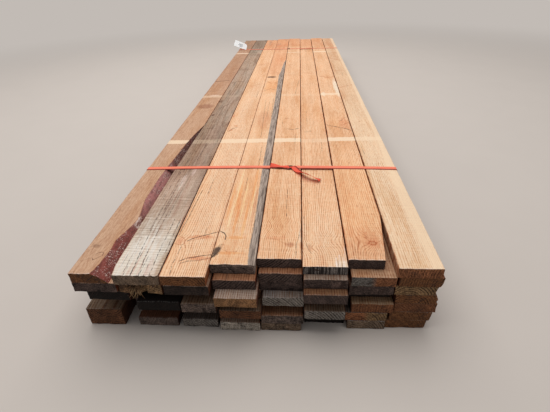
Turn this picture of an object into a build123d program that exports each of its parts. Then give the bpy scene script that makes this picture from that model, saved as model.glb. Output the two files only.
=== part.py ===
"""A strapped stack of rough fir boards. Millimetres, +Z up, the near ends towards -Y."""
from build123d import *
from math import cos, radians
import os

# The boards: rough two-inch fir, sawn to one length and laid side by side in layers
board_length = 4877
board_width = 152
board_thickness = 41
board_gap = 2
column_count = 8
layer_count = 7

# The lists below run from the top layer down and, within a layer, from the left to the right.
# side_shift is how far a board lies to the right of its column.
side_shift = [
    [0, 0, 0, 1, 3, 5, 5, 8],
    [-2, 2, 6, 10, 8, 8, 14, 18],
    [37, 33, 25, 18, 10, 9, 10, 9],
    [16, 50, 52, 22, 20, 14, 10, 17],
    [26, 26, 22, 24, 20, 12, 23, 18],
    [-20, -8, -4, 9, 14, 13, 4, 6],
    [-20, 15, 28, 16, 11, 14, 14, -4],
]
# width_trim is how much narrower than the widest boards a board was sawn.
width_trim = [
    [0, 0, 0, 0, 0, 2, 0, 6],
    [0, 0, 0, 6, 2, 4, 2, 4],
    [6, 9, 8, 8, 2, 6, 2, 4],
    [4, 2, 32, 6, 8, 6, 2, 6],
    [4, 6, 2, 6, 10, 12, 6, 5],
    [18, 2, 2, 2, 3, 11, 5, 4],
    [18, 3, 20, 6, 7, 6, 18, 6],
]
# end_setback is how far a board's near end lies behind the line of the near ends.
end_setback = [
    [-24, -30, -29, 33, 66, 37, 67, 27],
    [-24, -29, -30, 1, 38, 12, 27, 29],
    [-19, 60, 70, -40, 40, -17, 29, 31],
    [110, -25, -30, 40, 7, 45, 60, 32],
    [115, 60, 75, -18, 95, -12, 25, 32],
    [12, 70, 90, 45, 0, 60, 23, 30],
    [12, 13, 11, 1, 4, 45, 22, 30],
]

# The squared timber at the lower left takes the place of two boards of its column
timber_column = 0
timber_layers = 2

# The first top board has the slope of the log along its right side, from the near end back
wane_width = 42
wane_step = 24
wane_length = 1250

# The seventh top board narrows towards its near end
taper_column = 6
taper_width = 29
taper_length = 270

# The second board of the second layer is torn off: shares of its width and of the torn depth
torn_layer = 1
torn_column = 1
torn_depth = 26
torn_edge = [(0, 0.5), (0.2, 0.25), (0.36, 0.85), (0.47, 0.2), (0.6, 1), (0.66, 0.3)]

# The straps: flat bands pulled tight round the whole stack
strap_width = 32
strap_thickness = 0.9
front_strap_setback = 755
rear_strap_setback = 4110

# The loose ends of the front strap, turned away from the band and risen off the boards
tail_length = 185
tail_turn = 48
tail_rise = 26
short_end_length = 78
short_end_turn = 10
short_end_rise = 16
loose_end_lap = 12

# The wire buckles and their places across the stack
wire_diameter = 3.4
buckle_length = 30
buckle_width = 40
buckle_corner = 5
buckle_clearance = 0.3
front_buckle_place = 715
rear_buckle_place = 628

# The card tag that stands up out of the left end of the rear strap
tag_length = 160
tag_height = 66
tag_thickness = 0.5
tag_clip = 20
tag_slope = 20
tag_inset = 92
tag_clearance = 0.3

# Places in the stack's own grid, from its left side and its line of near ends
column_pitch = board_width + board_gap
last_layer = layer_count - 1
timber_top_layer = layer_count - timber_layers


def left_edge(layer, column):
    return column * column_pitch + side_shift[layer][column]


def sawn_width(layer, column):
    return board_width - width_trim[layer][column]


def right_edge(layer, column):
    return left_edge(layer, column) + sawn_width(layer, column)


def underside(layer):
    return strap_thickness + (last_layer - layer) * board_thickness


# The origin is under the middle of everything, tag included
stack_top = underside(0) + board_thickness
tag_root = left_edge(0, 0) + tag_inset
tag_reach = tag_length * cos(radians(tag_slope))
lowest_left = min([tag_root - tag_reach] + [left_edge(layer, 0) for layer in range(layer_count)])
rightmost_board = max(right_edge(layer, column_count - 1) for layer in range(layer_count))
highest_right = rightmost_board + strap_thickness
nearest_end = min(min(row) for row in end_setback)
farthest_end = max(max(row) for row in end_setback) + board_length
centre_x = (lowest_left + highest_right) / 2
centre_y = (nearest_end + farthest_end) / 2


def board_corner(layer, column):
    """The near left corner of a board in the part's frame."""
    return left_edge(layer, column) - centre_x, end_setback[layer][column] - centre_y


def draw_board(layer, column):
    """Adds a board's plan to the sketch that is being drawn."""
    with Locations(board_corner(layer, column)):
        Rectangle(sawn_width(layer, column), board_length, align=(Align.MIN, Align.MIN))


os.makedirs("parts", exist_ok=True)


# The eight boards of the top layer, each a node of its own
with BuildPart() as top_board_1:
    with BuildSketch(Plane.XY.offset(underside(0))):
        draw_board(0, 0)
    extrude(amount=board_thickness)
    near_x, near_y = board_corner(0, 0)
    right_x = near_x + sawn_width(0, 0)
    # The wane is a sloping face, widest at the near end, where the board also narrows
    with BuildSketch(Plane.XZ.offset(-near_y)):
        with BuildLine():
            Polyline(
                (right_x - wane_step - wane_width, stack_top),
                (right_x, stack_top),
                (right_x, underside(0)),
                (right_x - wane_step, underside(0)),
                close=True,
            )
        make_face()
    with BuildSketch(Plane.XZ.offset(-near_y - wane_length)):
        with BuildLine():
            Polyline(
                (right_x - board_gap, stack_top),
                (right_x, stack_top),
                (right_x, underside(0)),
                (right_x - board_gap / 2, underside(0)),
                close=True,
            )
        make_face()
    loft(mode=Mode.SUBTRACT)
top_board_1.part.label = "top_board_1"
export_step(top_board_1.part, "parts/top_board_1.step")

for column in range(1, column_count):
    with BuildPart() as top_board:
        with BuildSketch(Plane.XY.offset(underside(0))):
            draw_board(0, column)
            if column == taper_column:
                near_x, near_y = board_corner(0, column)
                right_x = near_x + sawn_width(0, column)
                with BuildLine():
                    Polyline(
                        (right_x - taper_width, near_y),
                        (right_x, near_y),
                        (right_x, near_y + taper_length),
                        close=True,
                    )
                make_face(mode=Mode.SUBTRACT)
        extrude(amount=board_thickness)
    top_board.part.label = f"top_board_{column + 1}"
    export_step(top_board.part, f"parts/top_board_{column + 1}.step")


# The lower layers, one node each: their boards lie beside each other and don't touch
for layer in range(1, layer_count):
    first_column = 0 if layer < timber_top_layer else timber_column + 1
    with BuildPart() as board_layer:
        with BuildSketch(Plane.XY.offset(underside(layer))):
            for column in range(first_column, column_count):
                draw_board(layer, column)
            if layer == torn_layer:
                near_x, near_y = board_corner(layer, torn_column)
                torn_width = sawn_width(layer, torn_column)
                torn_points = [
                    (near_x + across * torn_width, near_y + back * torn_depth)
                    for across, back in torn_edge
                ]
                with BuildLine():
                    Polyline(
                        (near_x, near_y),
                        *torn_points,
                        (near_x + torn_width, near_y),
                        close=True,
                    )
                make_face(mode=Mode.SUBTRACT)
        extrude(amount=board_thickness)
    board_layer.part.label = f"layer_{layer + 1}"
    export_step(board_layer.part, f"parts/layer_{layer + 1}.step")


# The squared timber under the lower left boards
with BuildPart() as corner_timber:
    with BuildSketch(Plane.XY.offset(underside(last_layer))):
        draw_board(last_layer, timber_column)
    extrude(amount=timber_layers * board_thickness)
corner_timber.part.label = "corner_timber"
export_step(corner_timber.part, "parts/corner_timber.step")


# A tight strap follows the outline that a cord pulled round the stack's section would take
with BuildSketch() as stack_section:
    for layer in range(layer_count):
        first_left = left_edge(layer, 0)
        layer_width = right_edge(layer, column_count - 1) - first_left
        with Locations((first_left - centre_x, underside(layer))):
            Rectangle(layer_width, board_thickness, align=(Align.MIN, Align.MIN))
    make_hull()


def strap_y(setback):
    return setback - centre_y


def band_section(setback):
    """The closed band round the stack, seen along the boards."""
    with BuildSketch(Plane.XZ.offset(-strap_y(setback))) as band:
        add(stack_section.sketch_local)
        offset(amount=strap_thickness)
        add(stack_section.sketch_local, mode=Mode.SUBTRACT)
    return band.sketch


def loose_end_section(root_x, turn, length, rise):
    """A loose end from the side: it leaves the band at root_x, rises and sinks again."""
    root = (root_x, strap_y(front_strap_setback), stack_top + 1.5 * strap_thickness)
    along = Vector(1, 0, 0).rotate(Axis.Z, turn)
    with BuildSketch(Plane(origin=root, x_dir=along, z_dir=along.cross(Vector(0, 0, 1)))) as loose_end:
        with BuildLine():
            lap = Line((0, 0), (loose_end_lap, 0))
            lift = TangentArc(lap @ 1, (loose_end_lap + 0.3 * length, 0.45 * rise), tangent=lap % 1)
            crest = TangentArc(lift @ 1, (loose_end_lap + 0.65 * length, rise), tangent=lift % 1)
            TangentArc(crest @ 1, (loose_end_lap + length, 0.6 * rise), tangent=crest % 1)
        trace(line_width=strap_thickness)
    return loose_end.sketch


buckle_x = front_buckle_place - centre_x
tail_root = buckle_x + buckle_length / 2 - loose_end_lap
short_end_root = buckle_x - buckle_length / 2 + loose_end_lap
with BuildPart() as front_strap:
    extrude(band_section(front_strap_setback), amount=strap_width / 2, both=True)
    tail = loose_end_section(tail_root, -tail_turn, tail_length, tail_rise)
    extrude(tail, amount=strap_width / 2, both=True)
    short_end = loose_end_section(
        short_end_root, 180 - short_end_turn, short_end_length, short_end_rise
    )
    extrude(short_end, amount=strap_width / 2, both=True)
front_strap.part.label = "front_strap"
export_step(front_strap.part, "parts/front_strap.step")

with BuildPart() as rear_strap:
    extrude(band_section(rear_strap_setback), amount=strap_width / 2, both=True)
rear_strap.part.label = "rear_strap"
export_step(rear_strap.part, "parts/rear_strap.step")


def make_buckle(name, place, setback, layers_of_strap):
    """Makes a wire buckle, a rounded loop with one crossbar, lying on so many layers of strap."""
    wire_height = stack_top + layers_of_strap * strap_thickness + buckle_clearance + wire_diameter / 2
    centre = Plane(origin=(place - centre_x, strap_y(setback), wire_height))
    half_length = (buckle_length - wire_diameter) / 2
    half_width = (buckle_width - wire_diameter) / 2
    with BuildPart() as buckle:
        with BuildLine(centre) as loop:
            FilletPolyline(
                (half_length, -half_width),
                (half_length, half_width),
                (-half_length, half_width),
                (-half_length, -half_width),
                radius=buckle_corner,
                close=True,
            )
        with BuildSketch(Plane(origin=loop.line @ 0, z_dir=loop.line % 0)):
            Circle(wire_diameter / 2)
        sweep(path=loop.line)
        with Locations(centre):
            Cylinder(wire_diameter / 2, 2 * half_width, rotation=(90, 0, 0))
    buckle.part.label = name
    export_step(buckle.part, f"parts/{name}.step")


make_buckle("front_buckle", front_buckle_place, front_strap_setback, 2)
make_buckle("rear_buckle", rear_buckle_place, rear_strap_setback, 1)


# The tag stands on its lower right corner against the near side of the rear strap
tag_y = strap_y(rear_strap_setback) - strap_width / 2 - tag_clearance - tag_thickness
tag_direction = Vector(-1, 0, 0).rotate(Axis.Y, tag_slope)
with BuildPart() as tag:
    with BuildSketch(
        Plane(origin=(tag_root - centre_x, tag_y, stack_top), x_dir=tag_direction, z_dir=(0, 1, 0))
    ):
        with BuildLine():
            Polyline(
                (0, 0),
                (tag_length, 0),
                (tag_length, tag_height),
                (tag_clip, tag_height),
                (0, tag_height - tag_clip),
                close=True,
            )
        make_face()
    extrude(amount=tag_thickness)
tag.part.label = "tag"
export_step(tag.part, "parts/tag.step")
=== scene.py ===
"""The looks of a strapped stack of rough fir boards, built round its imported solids. Metres, +Z up."""

from math import cos, pi, radians, sin
from typing import NamedTuple

import bpy
import numpy as np
from bpy.props import FloatProperty, FloatVectorProperty, IntProperty, PointerProperty
from mathutils import Matrix, Vector


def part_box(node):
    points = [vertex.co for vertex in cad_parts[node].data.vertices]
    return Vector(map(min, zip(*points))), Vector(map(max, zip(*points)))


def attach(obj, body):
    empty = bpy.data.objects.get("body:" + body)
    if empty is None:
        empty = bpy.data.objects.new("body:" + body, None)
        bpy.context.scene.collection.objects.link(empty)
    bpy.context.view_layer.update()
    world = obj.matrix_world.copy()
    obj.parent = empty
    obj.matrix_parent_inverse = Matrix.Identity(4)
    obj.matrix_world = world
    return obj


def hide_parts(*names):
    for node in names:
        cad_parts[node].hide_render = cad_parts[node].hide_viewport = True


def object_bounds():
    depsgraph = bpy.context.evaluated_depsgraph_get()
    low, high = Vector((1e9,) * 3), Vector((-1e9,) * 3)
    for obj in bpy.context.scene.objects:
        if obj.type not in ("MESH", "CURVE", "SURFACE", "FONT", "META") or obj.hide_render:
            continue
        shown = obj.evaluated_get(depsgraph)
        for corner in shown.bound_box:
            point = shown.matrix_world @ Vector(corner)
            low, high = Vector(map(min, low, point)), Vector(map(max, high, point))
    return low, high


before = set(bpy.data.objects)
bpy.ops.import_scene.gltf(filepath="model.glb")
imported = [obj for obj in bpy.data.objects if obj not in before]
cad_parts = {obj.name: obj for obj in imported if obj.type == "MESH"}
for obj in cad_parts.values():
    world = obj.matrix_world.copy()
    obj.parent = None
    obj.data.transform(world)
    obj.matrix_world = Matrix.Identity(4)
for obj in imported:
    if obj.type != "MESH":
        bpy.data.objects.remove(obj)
cad_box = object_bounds()

bl_info = {
    "name": "Fir Board Stack",
    "version": (1, 0, 0),
    "blender": (4, 5, 0),
    "location": "3D View > Sidebar > Fir Stack",
    "description": "Dresses the solids of a strapped stack of rough fir boards",
    "category": "Object",
}

# Places and sizes are written in millimetres where they are read off the boards, and times this
MM = 0.001

# Keeps a length off zero, and a place inside its last stretch
TINY = 1e-9

BODY = "root"
LAYERS = ["layer_2", "layer_3", "layer_4", "layer_5", "layer_6", "layer_7"]
STACK_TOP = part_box("top_board_1")[1].z
STRAP_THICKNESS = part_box("layer_7")[0].z


def colour(label, description, display_rgb):
    """A colour that a user can change, written as it is displayed, from 0 to 255."""
    return FloatVectorProperty(
        name=label,
        description=description,
        subtype="COLOR_GAMMA",
        size=3,
        min=0.0,
        max=1.0,
        default=[channel / 255 for channel in display_rgb],
    )


def amount(label, description, value, **kind):
    """A number that a user can change."""
    return FloatProperty(name=label, description=description, default=value, **kind)


def distance(label, description, millimetres):
    """A length that a user can change."""
    return amount(label, description, millimetres * MM, subtype="DISTANCE", unit="LENGTH")


def angle(label, description, degrees):
    """An angle that a user can change."""
    return amount(label, description, radians(degrees), subtype="ANGLE", unit="ROTATION")


class FirColours(bpy.types.PropertyGroup):
    """The colours of the boards."""

    orange: colour("Orange fir", "Fresh heartwood between its rings", (247, 201, 160))
    tan: colour("Tan fir", "Paler, duller heartwood", (202, 161, 130))
    pale: colour("Pale fir", "The palest board", (244, 210, 174))
    gray: colour("Gray fir", "Heartwood that has weathered", (206, 180, 158))
    sapwood: colour("Sapwood", "The cream outer wood", (250, 228, 198))
    weather: colour("Weathering", "The gray film of old wood", (180, 162, 142))
    weather_dark: colour("Weathered rings", "The darker lines of old wood", (104, 86, 72))
    wane: colour("Gray wane", "The weathered strip where the log's side was", (188, 168, 153))
    fresh: colour("Sticker band", "Clean wood where a sticker lay", (250, 224, 192))
    # This colour is also the painted shade inside cracks and splits
    bark_and_crack_shade: colour("Bark", "Bark in pockets, and the dark of a crack", (62, 46, 40))
    bleach: colour("Bleached wood", "Wood that the sun has bleached", (248, 240, 236))
    ruddy: colour("Ruddy wood", "Red-brown streaks and the lines round knots", (188, 108, 66))
    amber: colour("Amber wood", "Deeper orange streaks", (230, 168, 122))
    stain: colour("Stain", "Brown stains", (124, 84, 60))
    soil: colour("Soil", "Dirt that has been trodden in", (92, 56, 36))
    paint: colour("Red paint", "The paint on the first board's wane", (138, 70, 61))
    paint_faded: colour("Faded paint", "The same paint further back", (176, 116, 110))
    paint_tip: colour("Paint's far tip", "The same paint where the wane ends", (98, 54, 46))
    chip: colour("Chipped paint", "Bare specks in the paint", (228, 204, 192))


class StrapColours(bpy.types.PropertyGroup):
    """The colours of the straps and what is on them."""

    strap: colour("Strap", "Orange-red polyester", (255, 138, 108))
    # Soil on the strap, and also its painted shade: in the weave's grooves and along its near edge
    strap_soil_and_shade: colour("Strap at its edge", "The same, worn and soiled", (128, 38, 24))
    strap_deep: colour("Loose strap", "The strap's cleaner loose ends", (246, 84, 60))
    wire: colour("Buckle wire", "Dark coated steel", (38, 30, 28))
    card: colour("Card", "The blank tag", (250, 252, 252))
    card_bar: colour("Card bars", "Plain bars across the tag", (98, 104, 112))


class StackSizes(bpy.types.PropertyGroup):
    """Sizes of what the saw, the weather and the yard left on the boards."""

    worn_edge: distance("Worn edge", "Radius of a board's worn edges", 2.2)
    rough_face: distance("Rough face", "How uneven a sawn face is", 0.5)
    rough_end: distance("Rough end", "How uneven a sawn end is", 1.6)
    thin_board: distance("Thin board", "How much lower the sixth board's top lies", 6.0)
    ring_width: distance("Ring width", "Width of one year's growth", 6.0)
    strap_ripple: distance("Strap ripple", "How much a tight strap ripples", 0.35)
    strap_bow: distance("Strap bow", "How far the front strap bows back in its middle", 16.0)
    card_curl: distance("Card curl", "How far the tag's card curls", 6.0)
    top_steps: IntProperty(name="Top steps", description="Steps along a top board", default=190)
    low_steps: IntProperty(name="Lower steps", description="Steps along a lower board", default=44)


class StageSettings(bpy.types.PropertyGroup):
    """The floor, the light and the camera's place."""

    floor: colour("Floor", "Plain pale floor", (208, 198, 189))
    backdrop: colour("Backdrop", "What the floor fades into far away", (194, 187, 181))
    floor_size: amount("Floor size", "Side of the floor", 90.0, unit="LENGTH")
    fade_start: amount("Fade start", "Where the floor fades", 3.0, unit="LENGTH")
    fade_end: amount("Fade end", "Where it has faded", 7.5, unit="LENGTH")
    sky: amount("Sky light", "Strength of the even light", 0.37)
    lamp: amount("Lamp", "Power of the soft overhead lamp", 356.0)
    camera_place: FloatVectorProperty(
        name="Camera place",
        description="From the middle of the floor under the stack",
        subtype="TRANSLATION",
        unit="LENGTH",
        default=(0.165, -3.376, 1.110),
    )
    camera_pitch: angle("Camera pitch", "Downwards", 32.19)
    camera_yaw: angle("Camera yaw", "To the right", -4.2)
    camera_roll: angle("Camera roll", "Clockwise", 1.9)
    camera_lens: amount("Lens", "In millimetres, on a 36 mm frame", 24.31)


def linear(display_colour):
    """The shader's value of a displayed colour, with its alpha, by the usual curve of a screen."""
    channels = [
        value / 12.92 if value <= 0.04045 else ((value + 0.055) / 1.055) ** 2.4
        for value in display_colour
    ]
    return (*channels, 1.0)


# Surfaces


def steps(length, count, edge, bunching=0.0):
    """Distances from 0 to length, closer near its ends where they bunch, and two more at each worn edge."""
    even = np.linspace(0, 1, count + 1)
    inner = edge + (even - bunching * np.sin(2 * pi * even)) * (length - 2 * edge)
    first = edge * 0.3
    return np.concatenate([[0.0, first], inner, [length - first, length]])


def shell(xs, ys, zs):
    """The points of a box's surface cut at these distances, its outward quads and each quad's axis."""
    shape = (len(xs), len(ys), len(zs))
    lattice = np.stack(np.meshgrid(xs, ys, zs, indexing="ij"), axis=-1)
    outer = np.ones(shape, bool)
    outer[1:-1, 1:-1, 1:-1] = False
    number = np.full(shape, -1)
    number[outer] = np.arange(outer.sum())
    quads = []
    axes = []
    for axis in range(3):
        for end in (0, -1):
            sheet = np.take(number, end, axis=axis)
            corners = [sheet[:-1, :-1], sheet[1:, :-1], sheet[1:, 1:], sheet[:-1, 1:]]
            if (end == 0) != (axis == 1):
                corners.reverse()
            side = np.stack(corners, axis=-1).reshape(-1, 4)
            quads.append(side)
            axes.append(np.full(len(side), axis))
    return lattice[outer], np.concatenate(quads), np.concatenate(axes)


def waves(points, seed, lengths, height, count=10):
    """A smooth random height for each point, made of waves of about these lengths along x, y and z."""
    random = np.random.default_rng(seed)
    total = np.zeros(len(points))
    for _ in range(count):
        direction = random.normal(size=3)
        direction /= np.linalg.norm(direction)
        phase = random.uniform(0, 2 * pi)
        total += np.sin(points @ (direction / np.array(lengths)) * 2 * pi + phase)
    return height * total / count**0.5


def worn(points, size, radius):
    """A box's surface points with its edges worn round, each point by its own radius."""
    reach = radius[:, None]
    inner = np.clip(points, reach, np.array(size) - reach)
    away = points - inner
    length = np.maximum(np.linalg.norm(away, axis=1), TINY)
    return inner + away * (radius / length)[:, None]


class Pile:
    """Meshes with the same attributes, gathered into one object."""

    def __init__(self):
        self.points = []
        self.quads = []
        self.slots = []
        self.marks = {}
        self.count = 0

    def add(self, points, quads, slots, **marks):
        """Adds a mesh. Each mark is one value for every point, or one for the whole mesh."""
        self.points.append(points)
        self.quads.append(quads + self.count)
        self.slots.append(slots)
        self.count += len(points)
        for name, value in marks.items():
            spread = np.broadcast_to(np.array(value, float), (len(points), len(np.atleast_2d(value)[0])))
            self.marks.setdefault(name, []).append(spread)

    def object(self, name, materials, sharp=38.0):
        """Makes the object, with its marks as attributes that the materials read."""
        mesh = bpy.data.meshes.new(name)
        mesh.from_pydata(np.concatenate(self.points).tolist(), [], np.concatenate(self.quads).tolist())
        for material in materials:
            mesh.materials.append(material)
        mesh.polygons.foreach_set("material_index", np.concatenate(self.slots))
        mesh.polygons.foreach_set("use_smooth", np.ones(len(mesh.polygons), bool))
        mesh.set_sharp_from_angle(angle=radians(sharp))
        for mark, values in self.marks.items():
            attribute = mesh.attributes.new(mark, "FLOAT_VECTOR", "POINT")
            attribute.data.foreach_set("vector", np.concatenate(values).astype(np.float32).ravel())
        mesh.update()
        piece = bpy.data.objects.new(name, mesh)
        bpy.context.scene.collection.objects.link(piece)
        return piece


def stand_for(piece, node):
    """The piece rides with the stack, in place of a solid."""
    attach(piece, BODY)
    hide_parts(node)


# Shader nodes


class Flow:
    """What comes out of a socket. Reckoning with it adds nodes to its sheet."""

    def __init__(self, sheet, socket):
        self.sheet = sheet
        self.socket = socket

    def reckon(self, operation, *values):
        """Adds a node for numbers, or one for vectors where this is a vector or a colour."""
        make = self.sheet.math if self.socket.type == "VALUE" else self.sheet.vector
        return make(operation, *values)

    def __add__(self, other):
        return self.reckon("ADD", self, other)

    def __sub__(self, other):
        return self.reckon("SUBTRACT", self, other)

    def __rsub__(self, other):
        return self.reckon("SUBTRACT", other, self)

    def __mul__(self, other):
        return self.reckon("MULTIPLY", self, other)

    def __truediv__(self, other):
        return self.reckon("DIVIDE", self, other)

    def __abs__(self):
        return self.reckon("ABSOLUTE", self)


class Sheet:
    """Adds nodes to a tree. What is given as a flow or a socket is linked, and any other value is set."""

    def __init__(self, tree):
        self.tree = tree
        tree.nodes.clear()

    def node(self, kind, inputs=(), **settings):
        """A node with these settings, and with its first inputs fed."""
        made = self.tree.nodes.new(kind)
        for name, value in settings.items():
            setattr(made, name, value)
        for socket, value in zip(made.inputs, inputs):
            self.feed(socket, value)
        return made

    def feed(self, socket, value):
        """Links an input or sets its value."""
        if isinstance(value, Flow):
            value = value.socket
        if isinstance(value, bpy.types.NodeSocket):
            self.tree.links.new(value, socket)
        else:
            socket.default_value = value

    def math(self, operation, *values):
        """A node that reckons with numbers."""
        return Flow(self, self.node("ShaderNodeMath", values, operation=operation).outputs[0])

    def vector(self, operation, *values):
        """A node that reckons with vectors. Two of its operations give a number."""
        made = self.node("ShaderNodeVectorMath", values, operation=operation)
        return Flow(self, made.outputs["Value" if operation in ("LENGTH", "DOT_PRODUCT") else "Vector"])

    def length(self, vector):
        """How long a vector is."""
        return self.vector("LENGTH", vector)

    def split(self, vector):
        """The x, y and z of a vector."""
        return [Flow(self, socket) for socket in self.node("ShaderNodeSeparateXYZ", [vector]).outputs]

    def join(self, x, y, z):
        """A vector of three numbers."""
        return Flow(self, self.node("ShaderNodeCombineXYZ", (x, y, z)).outputs[0])

    def even(self, value):
        """One number as a vector or a gray. A number isn't linked straight to such an input, because a
        board's material would then have more values waiting than the renderer can hold."""
        return self.join(value, value, value)

    def ramp(self, value, low, high, to_low=0.0, to_high=1.0):
        """A smooth step from one value to another as the input goes from low to high."""
        inputs = (value, low, high, to_low, to_high)
        made = self.node("ShaderNodeMapRange", inputs, interpolation_type="SMOOTHSTEP")
        return Flow(self, made.outputs[0])

    def noise(self, where, scale=1.0, detail=2.0, rough=0.5, output="Fac"):
        """Noise from 0 to 1. Its scale is one number, or three for x, y and z."""
        if isinstance(scale, tuple):
            where = where * scale
            scale = 1.0
        made = self.node("ShaderNodeTexNoise")
        for name, value in {"Vector": where, "Scale": scale, "Detail": detail, "Roughness": rough}.items():
            self.feed(made.inputs[name], value)
        return Flow(self, made.outputs[output])

    def place(self):
        """Where a point of the surface is, in the stack's own frame."""
        return Flow(self, self.node("ShaderNodeTexCoord").outputs["Object"])

    def mark(self, name, output="Vector"):
        """An attribute of the mesh."""
        return Flow(self, self.node("ShaderNodeAttribute", attribute_name=name).outputs[output])

    def mix(self, share, first, second, mode="MIX"):
        """A share of the second colour over the first."""
        made = self.node("ShaderNodeMix", data_type="RGBA", blend_type=mode)
        for number, value in {0: share, 6: first, 7: second}.items():
            self.feed(made.inputs[number], value)
        return Flow(self, made.outputs[2])

    def dye(self, share, base, tint):
        """A share of the base's own colour multiplied by a tint of three channels."""
        return self.mix(share, base, (*tint, 1.0), "MULTIPLY")

    def use(self, effect, **values):
        """Places an effect's group, with underscores for the spaces in its inputs' names."""
        made = self.node("ShaderNodeGroup", node_tree=bpy.data.node_groups[effect])
        for name, value in values.items():
            self.feed(made.inputs[name.replace("_", " ")], value)
        return {socket.name: Flow(self, socket) for socket in made.outputs}


def new_effect(name, **inputs):
    """A shader node group with these inputs and their defaults, as the sheet that fills it and the flows
    of its inputs. Underscores stand for spaces."""
    tree = bpy.data.node_groups.new(name, "ShaderNodeTree")
    sheet = Sheet(tree)
    for label, default in inputs.items():
        kind = "NodeSocketVector" if isinstance(default, tuple) else "NodeSocketFloat"
        socket = tree.interface.new_socket(label.replace("_", " "), in_out="INPUT", socket_type=kind)
        socket.default_value = default
    entry = sheet.node("NodeGroupInput")
    return sheet, {socket.name: Flow(sheet, socket) for socket in entry.outputs}


def finish_effect(sheet, **outputs):
    """Puts out a group's values. Underscores stand for spaces."""
    labels = [name.replace("_", " ") for name in outputs]
    for label in labels:
        sheet.tree.interface.new_socket(label, in_out="OUTPUT", socket_type="NodeSocketFloat")
    way_out = sheet.node("NodeGroupOutput")
    for label, value in zip(labels, outputs.values()):
        sheet.feed(way_out.inputs[label], value)


# Shared effects

ORIGIN = (0.0, 0.0, 0.0)
FULL_TURN = 2 * pi

# A vector times this loses its height
FLAT = (1.0, 1.0, 0.0)


def add_ring_effect():
    """Yearly rings round a pith that wanders along the log, with the fibres and clouds of the wood."""
    sheet, given = new_effect(
        "Fir Rings", Pith=ORIGIN, Pull=0.0, Ring_Width=0.004, Wander=0.022, Early_Share=0.3
    )
    place = sheet.place()
    x, y, z = sheet.split(place)
    pith_x, pith_z, seed = sheet.split(given["Pith"])
    slow = sheet.join(seed, y * 0.55, 0.0)
    dx = x - pith_x - (sheet.noise(slow, 1.0, 1.0) - 0.5) * given["Wander"]
    dz = z - pith_z - (sheet.noise(slow, 1.7, 1.0) - 0.5) * given["Wander"]
    shifted = place + sheet.even(seed)
    broad = (sheet.noise(shifted, (9.0, 1.3, 9.0), 1.0) - 0.5) * 0.009
    fine = (sheet.noise(shifted, (70.0, 9.0, 70.0)) - 0.5) * 0.0026
    radius = sheet.length(sheet.join(dx, dz, 0.0)) + broad + fine + given["Pull"]
    ring = radius / given["Ring Width"]
    season = sheet.math("FRACT", ring)
    chance = sheet.node("ShaderNodeTexWhiteNoise", noise_dimensions="1D")
    sheet.feed(chance.inputs["W"], sheet.math("FLOOR", ring) + seed)
    strong = sheet.ramp(chance.outputs["Value"], 0.0, 1.0, 0.45, 1.0)
    finish_effect(
        sheet,
        Late_Wood=sheet.ramp(season, given["Early Share"], 0.85) * sheet.ramp(season, 1.0, 0.9) * strong,
        Fibres=sheet.noise(shifted, (520.0, 12.0, 520.0), 3.0, 0.6),
        Cloud=sheet.noise(shifted, (13.0, 1.6, 13.0), 3.0, 0.55),
        Turn=sheet.math("ARCTAN2", dz, dx),
    )


def add_knot_effect():
    """A knot that goes through the board: its heart, its rim and how far it pulls the rings aside."""
    sheet, given = new_effect(
        "Fir Knot", Centre=ORIGIN, Reach=(0.01, 0.01, 1.0), Spread=(0.03, 0.05, 1.0), Turn=0.0, Pull=0.01
    )
    place = sheet.place()
    apart = (place - given["Centre"]) * FLAT
    turned = sheet.node("ShaderNodeVectorRotate", rotation_type="Z_AXIS")
    sheet.feed(turned.inputs["Vector"], apart)
    sheet.feed(turned.inputs["Angle"], given["Turn"])
    scaled = Flow(sheet, turned.outputs[0]) / given["Reach"]
    far = sheet.length(scaled) + sheet.noise(place, 75.0, 3.0, 0.6) * 0.9 - 0.45
    broken = sheet.ramp(sheet.noise(place, 48.0), 0.4, 0.6, 0.25, 1.0)
    near = sheet.length(apart / given["Spread"])
    u, v, _ = sheet.split(scaled)
    spoke = sheet.math("ARCTAN2", v, u) * 1.4
    split = sheet.noise(sheet.join(spoke, 0.0, 3.0), 2.2, 1.0)
    finish_effect(
        sheet,
        Heart=sheet.ramp(far, 1.05, 0.6),
        Rim=sheet.ramp(abs(far - 1.0), 0.22, 0.02) * broken,
        Pull=sheet.math("EXPONENT", near * near * -1.0) * given["Pull"],
        Cracks=sheet.ramp(abs(split - 0.5), 0.03, 0.0) * sheet.ramp(far, 0.9, 0.6),
    )


def add_stroke_effect():
    """A thin line on a board, such as a crack or a knot's dark outline, from one point to another."""
    sheet, given = new_effect(
        "Fir Stroke", First=ORIGIN, Last=(0.1, 0.0, 0.0), Width=0.003, Wander=0.006, Broken=0.5
    )
    place = sheet.place()
    swing = (sheet.noise(place, 32.0, 3.0, output="Color") - (0.5, 0.5, 0.5)) * sheet.even(given["Wander"])
    apart = (place + swing) * FLAT - given["First"]
    run = given["Last"] - given["First"]
    share = sheet.vector("DOT_PRODUCT", apart, run) / sheet.vector("DOT_PRODUCT", run, run)
    share = sheet.math("MINIMUM", sheet.math("MAXIMUM", share, 0.0), 1.0)
    reach = given["Width"] * sheet.ramp(sheet.noise(place, 90.0, 3.0, 0.7), 0.3, 0.65, 0.35, 1.1)
    line = sheet.ramp(sheet.length(apart - run * sheet.even(share)), reach, reach * 0.25)
    missing = sheet.ramp(sheet.noise(place, 55.0), 0.56, 0.44) * given["Broken"]
    finish_effect(sheet, Line=line * (1.0 - missing))


def add_patch_effect():
    """A soft-edged, ragged patch of another tone."""
    sheet, given = new_effect("Fir Patch", Centre=ORIGIN, Reach=(0.05, 0.05, 1.0), Ragged=0.8)
    place = sheet.place()
    far = sheet.length((place - given["Centre"]) * FLAT / given["Reach"])
    torn = sheet.noise(place, (60.0, 16.0, 60.0), 4.0, 0.65) - 0.5
    finish_effect(sheet, Patch=sheet.ramp(far + torn * given["Ragged"], 1.15, 0.55))


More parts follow.
